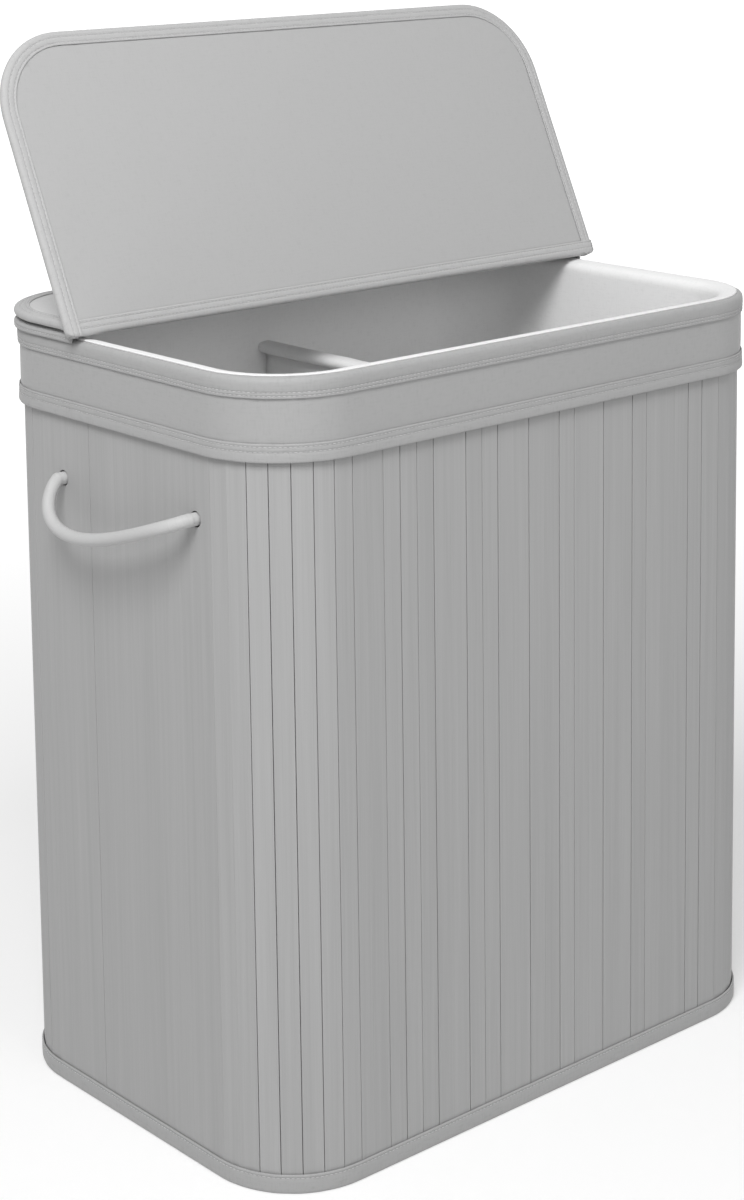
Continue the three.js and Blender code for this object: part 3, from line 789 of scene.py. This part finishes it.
def bag_fold(point):
    """How far the hanging cloth leaves the wall: upright folds below the hem, and small slanting creases in
    the corners beside it."""
    way = along_wall(point)
    drop = liner_head - point.z
    hang = min(1, max(0, drop / liner_drop))
    broad = ripple(way, point.z, *broad_wave)
    narrow = ripple(way, point.z, *narrow_wave)
    slack = ripple(way + slack_slant * point.z, point.z, *slack_wave)
    crease = ripple(way + crease_slant * point.z, point.z, *crease_wave)
    fold = fold_base_share + broad + fold_detail_share * (narrow + slack)
    pinch = corner_share(point) * math.exp(-abs(drop) / crease_reach) * (crease_base_share + crease)
    return fold_depth * math.sin(math.pi * hang) ** fold_shape * fold + crease_depth * pinch


def on_bag(point):
    """Where a point lies on the bag's cloth: on its floor, or along and up its wall and out over the rim."""
    if point.z < liner_foot + floor_edge:
        return laid_flat(point)
    return along_wall(point), point.z + standoff(point)


white_cloth = woven("white plain-weave cloth", "#eeeeee", "#f6f6f6", 0.06 * mm, 0.85)
select_only(wall_path(liner_offset, liner_foot, liner_path_step))
bpy.ops.object.convert(target="MESH")
bag = bpy.context.object
bag.name = "liner"
with editing("SELECT"):
    for level in range(liner_steps + crest_steps):
        bpy.ops.mesh.extrude_region_move(TRANSFORM_OT_translate={"value": (0, 0, liner_step)})
choose_vertices(bag, lambda place: abs(place.z - liner_foot) < touch)
with editing():
    for ring in range(floor_rings, 0, -1):
        share = (ring - 1) / ring
        bpy.ops.mesh.extrude_region_move()
        bpy.ops.transform.resize(value=(share, share, 1), center_override=(0, 0, liner_foot))
    bpy.ops.mesh.select_all(action="SELECT")
    bpy.ops.mesh.remove_doubles(threshold=merge_gap)
    bpy.ops.mesh.normals_make_consistent(inside=False)
for vertex in bag.data.vertices:
    outward = -bag_fold(vertex.co)
    turned = (vertex.co.z - liner_head) / (crest_steps * liner_step)
    if turned > 0:
        out, up = over_crest(min(1, turned))
        outward = out + outward * (1 - turned)
        vertex.co.z = liner_head + up
    vertex.co += out_of_wall(vertex.co) * outward
    if vertex.co.z < liner_foot + touch:
        vertex.co.z += floor_lift * (1 + ripple(vertex.co.x, vertex.co.y, floor_wave, floor_wave, 3))
modify(bag, "SOLIDIFY", thickness=liner_thickness, offset=-1)
bpy.ops.object.shade_smooth()
spread_to_floor(bag)
coat(bag, white_cloth)
lay_weave(bag, on_bag)
hand_over(bag, "liner_cloth", "liner_bag", "liner_top_hem")

# Liner tapes. Strips of grey hook-and-loop tape on the inside of the rim hold the bag in its place. They are
# stitched on, and only their nap and rounded edges show when the bag is out.
nap_spacing = 1.2 * mm
nap_edge = 0.6 * mm
hook_and_loop = woven("grey hook-and-loop tape", "#8f8f8f", "#a3a3a3", 0.3 * mm, 0.95, nap_spacing)
for side in ("rear", "left", "front", "right"):
    low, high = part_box("liner_tape_" + side)
    strip = start_from(bpy.ops.mesh.primitive_cube_add, "hook_and_loop_" + side, high - low, size=1,
                       location=(low + high) / 2)
    modify(strip, "BEVEL", width=nap_edge, segments=3)
    coat(strip, hook_and_loop)
    lay_weave(strip, round_the_wall)
    hand_over(strip, "band_cloth", "liner_tape_" + side)

# Divider. A flat bar in a sewn sleeve crosses the bag between the middles of its long walls, and a sheet of
# the liner cloth hangs from it to the floor, so that the bag has two bins.
sleeve_low, sleeve_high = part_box("divider_sleeve")
sleeve_middle = (sleeve_low.z + sleeve_high.z) / 2
sleeve_step = 8 * mm
sleeve_ripple = 0.35 * mm
panel_low, panel_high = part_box("divider_panel")
panel_height = panel_high.z - panel_low.z
panel_half_width = wall_depth / 2 - 17 * mm
panel_thickness = 0.9 * mm
panel_billow = 7 * mm
panel_crease = 1.6 * mm


def straight(start, end, step=path_step):
    """A straight path from one point to another."""
    start = Vector(start)
    end = Vector(end)
    count = max(1, round((end - start).length / step))
    run = draw_curve("run", [start.lerp(end, i / count) for i in range(count + 1)])
    run.data.twist_mode = "Z_UP"
    return run


sleeve_run = straight((0, sleeve_low.y, sleeve_middle), (0, sleeve_high.y, sleeve_middle), sleeve_step)
sleeve = sew_tape("divider_padded_bar", sleeve_run, [
    (-7.6, -2.6), (-8.5, 0), (-7.9, 2.6), (-5.4, 4.5), (-2, 5), (2, 5), (5.4, 4.5), (7.9, 2.6), (8.5, 0),
    (7.6, -2.6), (5, -4.4), (2, -5), (0.8, -6.0), (-0.8, -6.0), (-2, -5), (-5, -4.4)], white_cloth)
for vertex in sleeve.data.vertices:
    vertex.co.z += sleeve_ripple * ripple(vertex.co.y, vertex.co.x, 22 * mm, 9 * mm, 8)
lay_weave(sleeve, lambda point: (point.y, point.x + point.z))
hand_over(sleeve, "liner_cloth", "divider_sleeve")

panel = start_from(bpy.ops.mesh.primitive_grid_add, "divider_sheet", x_subdivisions=52, y_subdivisions=40,
                   size=1, rotation=(0, quarter, 0))
for vertex in panel.data.vertices:
    across = vertex.co.y * 2
    drop = 0.5 - vertex.co.z
    height = panel_high.z - drop * panel_height
    spread = 1 + 2 * floor_spread / wall_depth * (1 - height / rim_height)
    free = (1 - across ** 4) * math.sin(math.pi * drop)
    billow = noise.noise(Vector((1.1 * across, 1.6 * drop, 6)))
    crease = noise.noise(Vector((3 * across + 2 * drop, 4 * drop, 7)))
    vertex.co.x = free * (panel_billow * billow + panel_crease * crease)
    vertex.co.y = across * panel_half_width * spread
    vertex.co.z = height
modify(panel, "SOLIDIFY", thickness=panel_thickness, offset=0)
bpy.ops.object.shade_smooth()
coat(panel, white_cloth)
lay_weave(panel, lambda point: (point.y, point.z))
hand_over(panel, "liner_cloth", "divider_panel")

# Lid. Both halves are a 3 mm board between two cloths. One tape is folded round the two sides and the far
# edge and stitched through twice; a second tape closes the hinge edge and crosses under or over its ends.
lid_cover = woven("pale grey lid cloth", "#c8c8c8", "#d2d2d2", 0.1 * mm, 0.7)
lid_lining = woven("pale grey lining cloth", "#b4b4b4", "#b9b9b9", 0.04 * mm, 0.85)
lid_tape = woven("grey lid tape", "#b2b2b2", "#bdbdbd", 0.12 * mm, 0.75)
lid_cloth_inset = 7 * mm
lid_cloth_height = 2.5 * mm
lid_cloth_thickness = 0.6 * mm
lid_cloth_columns = 80
lid_cloth_row = 7 * mm
lid_cloth_least_rows = 12
lid_cloth_seed = 2.25
lid_rise = 0.5 * mm
lid_rise_reach = 14 * mm
lid_sag = 0.28 * mm
lid_sag_wave = 55 * mm
lid_draw = 0.22 * mm
lid_draw_wave = 7 * mm
lid_draw_place = 8 * mm
lid_draw_reach = 6 * mm
lid_ruffle = 0.2 * mm
lid_ruffle_wave = 8 * mm
lid_ruffle_seed = 5
lid_tape_width = 12 * mm
lid_tape_section = [
    (-12, 2.7), (-12.1, 3.25), (-11.5, 3.6), (-10.5, 3.6), (-10.15, 3.15), (-9.65, 3.15), (-9.3, 3.6),
    (-7.5, 3.65), (-5.9, 3.6), (-5.55, 3.15), (-5.05, 3.15), (-4.7, 3.6), (-2.8, 3.4), (-1.1, 2.7),
    (-0.2, 1.4), (0, 0)]
lid_tape_section += [(out, -up) for out, up in reversed(lid_tape_section[:-1])]
lid_tape_section += [(-3.4, -2.65), (-3.0, -1.5), (-3.0, 1.5), (-3.4, 2.65)]
lid_rows = (9.9 * mm, 5.3 * mm)
lid_row_height = 3.35 * mm
hinge_row_start = 3 * mm
hinge_row_end = lid_tape_width + mm
hinge_tape_inset = 1.2 * mm
under_share = 0.88
over_share = 1.08
lap_shares = (0.1, 0.9)


def drawn_in(plan, way, least_radius, open_side=None):
    """A plan made smaller all round, apart from its open side."""
    return Plan(plan.left + way, plan.right - way, plan.front + (0 if open_side == "front" else way),
                plan.rear - (0 if open_side == "rear" else way), max(least_radius, plan.front_radius - way),
                max(least_radius, plan.rear_radius - way))


def keep_within(piece, plan):
    """Rounds off what stands past the rounded corners of a plan."""
    for vertex in piece.data.vertices:
        x, y = vertex.co[:2]
        radius = plan.front_radius if y < (plan.front + plan.rear) / 2 else plan.rear_radius
        centre = Vector((min(max(x, plan.left + radius), plan.right - radius),
                         min(max(y, plan.front + radius), plan.rear - radius)))
        away = Vector((x, y)) - centre
        if away.length > radius:
            away *= radius / away.length
            vertex.co.x, vertex.co.y = centre + away


def lid_cloth(name, plan, side, finish):
    """A cloth face of a lid panel: flat on its board, drawn down a little towards the tape."""
    rows = max(lid_cloth_least_rows, round((plan.rear - plan.front) / lid_cloth_row))
    sheet = lay_over(bpy.ops.mesh.primitive_grid_add, name, plan, side * lid_cloth_height,
                     x_subdivisions=lid_cloth_columns, y_subdivisions=rows)
    keep_within(sheet, plan)
    seed = side * lid_cloth_seed
    for vertex in sheet.data.vertices:
        x, y = vertex.co[:2]
        edge = min(x - plan.left, plan.right - x, y - plan.front, plan.rear - y)
        rise = 1 - math.exp(-max(0, edge) / lid_rise_reach)
        near = math.exp(-((edge - lid_draw_place) / lid_draw_reach) ** 2)
        sag = lid_sag * ripple(x, y, lid_sag_wave, lid_sag_wave, seed)
        draw = lid_draw * ripple(x, y, lid_draw_wave, lid_draw_wave, seed + 3)
        vertex.co.z += side * ((lid_rise + sag) * rise + draw * near)
    modify(sheet, "SOLIDIFY", thickness=lid_cloth_thickness, offset=-side)
    bpy.ops.object.shade_smooth()
    coat(sheet, finish)
    lay_weave(sheet, laid_flat)
    return sheet


def sew_hinge_tape(prefix, plan, hinge_side):
    """The tape along the hinge edge. It goes under the side tape on the left and over it on the right."""
    hinge_y = getattr(plan, hinge_side)
    ends = [(plan.right - hinge_tape_inset, hinge_y, 0), (plan.left + hinge_tape_inset, hinge_y, 0)]
    if hinge_side == "front":
        ends.reverse()
    tape = sew_tape(prefix + "_hinge_tape", straight(*ends), lid_tape_section, lid_tape)
    for vertex in tape.data.vertices:
        across = (vertex.co.x - plan.left) / (plan.right - plan.left)
        share = min(1, max(0, (across - lap_shares[0]) / (lap_shares[1] - lap_shares[0])))
        vertex.co.z *= under_share + (over_share - under_share) * share
    return tape


def sew_lid_rows(prefix, plan, hinge_side):
    """Two rows of stitches on both faces, round the side tape and along the hinge tape."""
    rows = []
    for number, way in enumerate(lid_rows):
        hinge_y = getattr(plan, hinge_side) + (way if hinge_side == "front" else -way)
        for face, height in (("top", lid_row_height), ("under", -lid_row_height)):
            path = outline(drawn_in(plan, way, 0, hinge_side), height, open_side=hinge_side)
            rows.append(stitch(f"{prefix}_{face}_row_{number}", path))
            run = straight((plan.right - hinge_row_start, hinge_y, height),
                           (plan.left + hinge_row_end, hinge_y, height))
            rows.append(stitch(f"{prefix}_{face}_hinge_row_{number}", run))
    return join(prefix + "_stitches", rows)


def make_lid_panel(prefix, plan, hinge_side, place, body):
    """A lid panel, made flat about its own middle and then put in its place."""
    cloth_plan = drawn_in(plan, lid_cloth_inset, mm)
    tape_plan = plan._replace(**{hinge_side + "_radius": 0})
    top = lid_cloth(prefix + "_top_cloth_face", cloth_plan, 1, lid_cover)
    lining = lid_cloth(prefix + "_lining_face", cloth_plan, -1, lid_lining)
    side_tape = sew_tape(prefix + "_side_tape", outline(tape_plan, 0, open_side=hinge_side),
                         lid_tape_section, lid_tape)
    hinge_tape = sew_hinge_tape(prefix, plan, hinge_side)
    seams = sew_lid_rows(prefix, tape_plan, hinge_side)
    for piece in (side_tape, hinge_tape, seams):
        for vertex in piece.data.vertices:
            swell = ripple(vertex.co.x, vertex.co.y, lid_ruffle_wave, lid_ruffle_wave, lid_ruffle_seed)
            vertex.co.z += math.copysign(lid_ruffle * swell, vertex.co.z)
        keep_within(piece, plan)
    lay_weave(side_tape, laid_flat)
    lay_weave(hinge_tape, laid_flat)
    for piece, slot, nodes in ((top, "band_cloth", [prefix + "_top_cloth"]),
                               (lining, "lid_lining", [prefix + "_lining"]),
                               (side_tape, "binding_tape", [prefix + "_binding"]),
                               (hinge_tape, "binding_tape", []), (seams, "binding_tape", [])):
        select_only(piece)
        piece.matrix_world = place
        apply_place()
        hand_over(piece, slot, *nodes, body=body)


strip_low, strip_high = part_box("rear_strip_binding")
strip_plan = Plan(strip_low.x, strip_high.x, strip_low.y, strip_high.y, front_radius=5 * mm,
                  rear_radius=82 * mm)
strip_place = Matrix.Translation((0, 0, (strip_low.z + strip_high.z) / 2))
make_lid_panel("rear_strip", strip_plan, "front", strip_place, "hamper")

joints = {joint["name"]: joint for joint in frame["record"]["behaviour"]["joints"]}
pivot = Vector(joints["lid_hinge"]["pos_m"])
open_angle = math.radians(-115)
flap_half = 274 * mm
flap_middle = -1 * mm
flap_plan = Plan(-flap_half, flap_half, front=-231 * mm, rear=4.2 * mm, front_radius=65 * mm,
                 rear_radius=6 * mm)
flap_place = (Matrix.Translation(pivot) @ Matrix.Rotation(open_angle, 4, "X")
              @ Matrix.Translation((0, 0, flap_middle)))
make_lid_panel("flap", flap_plan, "rear", flap_place, "lid_flap")

# Lid fixing. A folded tape is sewn over the rear half of the rim and the strip is stitched down on it; a
# short web of cloth joins the strip to the flap and is all the hinge there is.
fixing_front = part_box("lid_fixing_tape")[0].y
fixing_pucker = (0.35 * mm, 9 * mm, 30 * mm, 15)
fixing_row_offset = 5.75 * mm
fixing_row_height = 603.85 * mm
web_low, web_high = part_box("hinge_cloth")
web_step = 9 * mm


def rear_rim_path(offset, height):
    """The line round the rear half of the rim, at an offset outside the slats' face."""
    plan = wall_plan(offset)._replace(front=fixing_front, front_radius=0)
    return outline(plan, height, open_side="front")


fixing = sew_tape("lid_fixing", rear_rim_path(0, 0), [
    (4.35, 601.3), (4.9, 600.8), (5.7, 601.1), (6.1, 602.2), (6.0, 603.2), (5.5, 603.6), (5.5, 604.1),
    (5.9, 604.6), (5.6, 606.0), (4.4, 607.2), (1, 608.0), (-6, 608.6), (-9.4, 608.5), (-10, 607.4),
    (-9.6, 606.1), (-6, 605.7), (2, 605.7), (4.0, 605.0), (4.3, 603.5)], tape_cloth)
fixing_row = stitch("lid_fixing_stitches", rear_rim_path(fixing_row_offset, fixing_row_height))
for piece in (fixing, fixing_row):
    pucker(piece, *fixing_pucker)
lay_weave(fixing, over_the_rim)
hand_over(fixing, "binding_tape", "lid_fixing_tape")
hand_over(fixing_row, "binding_tape")

web = sew_tape("hinge_web", straight((web_low.x, web_high.y, web_high.z), web_high, web_step), [
    (0.95, -0.9), (0.5, -0.5), (-1.2, -0.35), (-1.4, 0), (0.4, 0), (0.95, -0.4)], tape_cloth, soft=False)
lay_weave(web, lambda point: (point.x, point.y + point.z))
hand_over(web, "binding_tape", "hinge_cloth")

# Rope handles. A 10 mm cord with a smooth braided sheath goes out through one hole, hangs in a loop and
# comes back through the other; a knot inside the wall stops each end.
rope_route = [
    (0, 81, 0), (3.6, 79.9, -2.4), (7, 78.6, -5.8), (10, 77.2, -9.8), (12.6, 75.2, -14.2),
    (14.8, 72.3, -18.7), (16.6, 68.1, -22.9), (17.9, 62.5, -26.5), (18.9, 55.3, -29.2), (19.6, 46.4, -30.9),
    (20.1, 36.5, -31.4), (20.4, 25.4, -31), (20.5, 13.5, -29.4), (20.5, 0.9, -26.9), (20.4, -12.6, -23.5),
    (20.1, -25.7, -19.7), (19.6, -38.3, -15.7), (18.7, -49.2, -12), (17.3, -58.6, -8.7), (15.4, -66.2, -6),
    (13, -71.9, -3.9), (10.2, -76, -2.3), (7, -78.8, -1.1), (3.6, -80.4, -0.3), (0, -81, 0)]
rope_radius = 5 * mm
rope_end_radius = 4.9 * mm
rope_smooth_angle = math.radians(60)
strand_spacing = 2 * mm
knot_inset = 3.4 * mm
knot_strand_radius = 2.9 * mm
knot_radius = 5.2 * mm
knot_half_length = 2.4 * mm
knot_turns = 2
knot_weave = 1.5
knot_points = 40


def braided_cord():
    """A polyester cord in a tight braided sheath: fine crossing strands, drawn 2 mm apart to show."""
    finish, tree = new_finish("grey braided cord")
    place = add_node(tree, "UVMap", uv_map="cord")
    parts = add_node(tree, "SeparateXYZ", [(0, place)])
    ridges = []
    for sign in (1, -1):
        slope = add_node(tree, "Math", [(0, parts.outputs[1]), (1, sign), (2, parts)],
                         operation="MULTIPLY_ADD")
        scaled = add_node(tree, "Math", [(0, slope), (1, 2 * math.pi / strand_spacing)],
                          operation="MULTIPLY")
        ridges.append(add_node(tree, "Math", [(0, scaled)], operation="SINE"))
    plait = add_node(tree, "Math", enumerate(ridges), operation="MULTIPLY")
    colour = add_node(tree, "ValToRGB", [(0, plait)])
    for stop, shade in zip(colour.color_ramp.elements, ("#c2c2c2", "#cccccc")):
        stop.color = linear(shade)
    bump = add_node(tree, "Bump", [("Height", plait)], strength=0.25, distance=0.1 * mm)
    sheath = add_node(tree, "BsdfPrincipled", [("Base Color", colour), ("Normal", bump)],
                      roughness=0.62)
    add_node(tree, "OutputMaterial", [(0, sheath)])
    return finish


def wind(name, places, radius, resolution=4):
    """A round cord through the given places."""
    data = bpy.data.curves.new(name, "CURVE")
    data.dimensions = "3D"
    data.twist_mode = "MINIMUM"
    data.resolution_u = resolution
    spline = data.splines.new("BEZIER")
    spline.bezier_points.add(len(places) - 1)
    for point, place in zip(spline.bezier_points, places):
        point.co = place
        point.handle_left_type = "AUTO"
        point.handle_right_type = "AUTO"
    data.bevel_depth = radius
    data.bevel_resolution = 4
    data.use_fill_caps = True
    cord = bpy.data.objects.new(name, data)
    bpy.context.collection.objects.link(cord)
    select_only(cord)
    bpy.ops.object.convert(target="MESH")
    bpy.ops.object.shade_smooth_by_angle(angle=rope_smooth_angle)
    return bpy.context.object


def round_end(place, radius):
    """A ball that rounds off the end of a cord."""
    ball = start_from(bpy.ops.mesh.primitive_uv_sphere_add, "ball", segments=24, ring_count=16, radius=radius,
                      location=place)
    bpy.ops.object.shade_smooth()
    return ball


def lay_braid(cord, places):
    """A UV map in metres along and around the cord, and its sheath."""
    for layer in list(cord.data.uv_layers):
        cord.data.uv_layers.remove(layer)
    reach = [0]
    for a, b in zip(places, places[1:]):
        reach.append(reach[-1] + (b - a).length)
    spots = []
    for vertex in cord.data.vertices:
        best = min(range(len(places)), key=lambda i: (places[i] - vertex.co).length_squared)
        ahead = places[min(best + 1, len(places) - 1)]
        behind = places[max(best - 1, 0)]
        tangent = (ahead - behind).normalized()
        away = vertex.co - places[best]
        along = reach[best] + away.dot(tangent)
        across = tangent.cross(Vector((0, 0, 1))).normalized()
        upright = across.cross(tangent)
        spots.append((along, math.atan2(away.dot(upright), away.dot(across)) * rope_radius))
    lay_map(cord, "cord", spots, (0, 2 * math.pi * rope_radius))
    coat(cord, cord_finish)


def tie_knot(middle, side):
    """The knot at a rope's end: its strand goes twice round and weaves in and out as it goes."""
    places = []
    for i in range(knot_points):
        angle = knot_turns * 2 * math.pi * i / (knot_points - 1)
        places.append(middle + Vector((side * knot_half_length * math.cos(knot_weave * angle),
                                       knot_radius * math.cos(angle), knot_radius * math.sin(angle))))
    return wind("knot", places, knot_strand_radius, 2)


cord_finish = braided_cord()
for end, side in ends:
    rope_pivot = Vector(joints[end + "_handle_swing"]["pos_m"])
    places = [rope_pivot + Vector((side * out, along, up)) * mm for out, along, up in rope_route]
    rope = join(end + "_rope", [wind(end + "_rope", places, rope_radius), round_end(places[0], rope_radius),
                                round_end(places[-1], rope_radius)])
    lay_braid(rope, places)
    hand_over(rope, "rope", end + "_handle_rope", body=end + "_handle")
    for hole, place in (("rear", places[0]), ("front", places[-1])):
        name = f"{end}_{hole}_rope_stub"
        low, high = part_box(f"{end}_{hole}_rope_end")
        start = Vector((rope_pivot.x, place.y, place.z))
        inside = Vector((side * (abs(low.x + high.x) / 2 - knot_inset), place.y, place.z))
        stub_places = [start.lerp(inside, share) for share in (0, 0.35, 0.7, 1)]
        stub = join(name, [wind(name, stub_places, rope_end_radius), tie_knot(inside, side),
                           round_end(start, rope_end_radius)])
        lay_braid(stub, stub_places)
        hand_over(stub, "rope", f"{end}_{hole}_rope_end")

# Camera. It stands off the left front corner, a little above the rim, level enough to keep the walls
# upright, with the picture shifted down.
camera_place = Vector((-1.27758, -1.448, 0.95324))
camera_right = Vector((0.75283, -0.65811, -0.01147))
camera_up = Vector((0.14034, 0.14346, 0.97965))
camera_data = bpy.data.cameras.new("camera")
camera_data.lens = 75.1
camera_data.sensor_width = 36
camera_data.shift_y = -0.2
camera = bpy.data.objects.new("camera", camera_data)
bpy.context.collection.objects.link(camera)
camera_back = camera_right.cross(camera_up).normalized()
camera_right = camera_up.cross(camera_back).normalized()
camera_up = camera_back.cross(camera_right)
aim = Matrix((camera_right, camera_up, camera_back)).transposed().to_4x4()
camera.matrix_world = Matrix.Translation(camera_place) @ aim
bpy.context.scene.camera = camera

# Floor and light. A pale floor that keeps the shadow and a white surround. A broad soft lamp on the camera's
# left lights the front left corner and the liner's right wall; a weak one in front reaches under the lid.
floor_size = 60
floor_white = "#e2e2e2"
pure_white = "#ffffff"
surround_light = 0.42
lamps = (("key_lamp", Vector((-1.55, -1.1, 2.64)), 1.1, 54), ("fill_lamp", Vector((-0.3, -2.8, 1.6)), 1.2, 8))


def seen_directly(tree):
    """1 for what the camera or a glossy surface sees, 0 for the light that falls on the object."""
    path = add_node(tree, "LightPath")
    return add_node(tree, "Math", [(0, path.outputs["Is Camera Ray"]), (1, path.outputs["Is Glossy Ray"])],
                    operation="ADD", use_clamp=True)


floor = start_from(bpy.ops.mesh.primitive_plane_add, "floor", size=floor_size)
floor_look, tree = new_finish("studio floor")
spot = add_node(tree, "NewGeometry").outputs["Position"]
away = add_node(tree, "VectorMath", [(0, spot)], operation="LENGTH").outputs["Value"]
fade = add_node(tree, "MapRange", [(0, away)], from_min=0.6, from_max=3, to_min=0.3, to_max=0.95)
seen_fade = add_node(tree, "Math", [(0, seen_directly(tree)), (1, fade)], operation="MULTIPLY")
matt = add_node(tree, "BsdfDiffuse", color=linear(floor_white))
glow = add_node(tree, "Emission", [("Strength", seen_fade)], color=linear(pure_white))
both = add_node(tree, "AddShader", [(0, matt), (1, glow)])
add_node(tree, "OutputMaterial", [(0, both)])
coat(floor, floor_look)

world = bpy.data.worlds.new("surround")
bpy.context.scene.world = world
world.use_nodes = True
tree = world.node_tree
tree.nodes.clear()
soft = add_node(tree, "Background", color=linear(pure_white), strength=surround_light)
white = add_node(tree, "Background", color=linear(pure_white), strength=1)
mixed = add_node(tree, "MixShader", [(0, seen_directly(tree)), (1, soft), (2, white)])
add_node(tree, "OutputWorld", [(0, mixed)])

for name, place, size, power in lamps:
    lamp_data = bpy.data.lights.new(name, "AREA")
    lamp_data.size = size
    lamp_data.energy = power
    lamp = bpy.data.objects.new(name, lamp_data)
    lamp.location = place
    lamp.rotation_euler = (place - Vector((0, 0, rim_height))).to_track_quat("Z", "Y").to_euler()
    bpy.context.collection.objects.link(lamp)
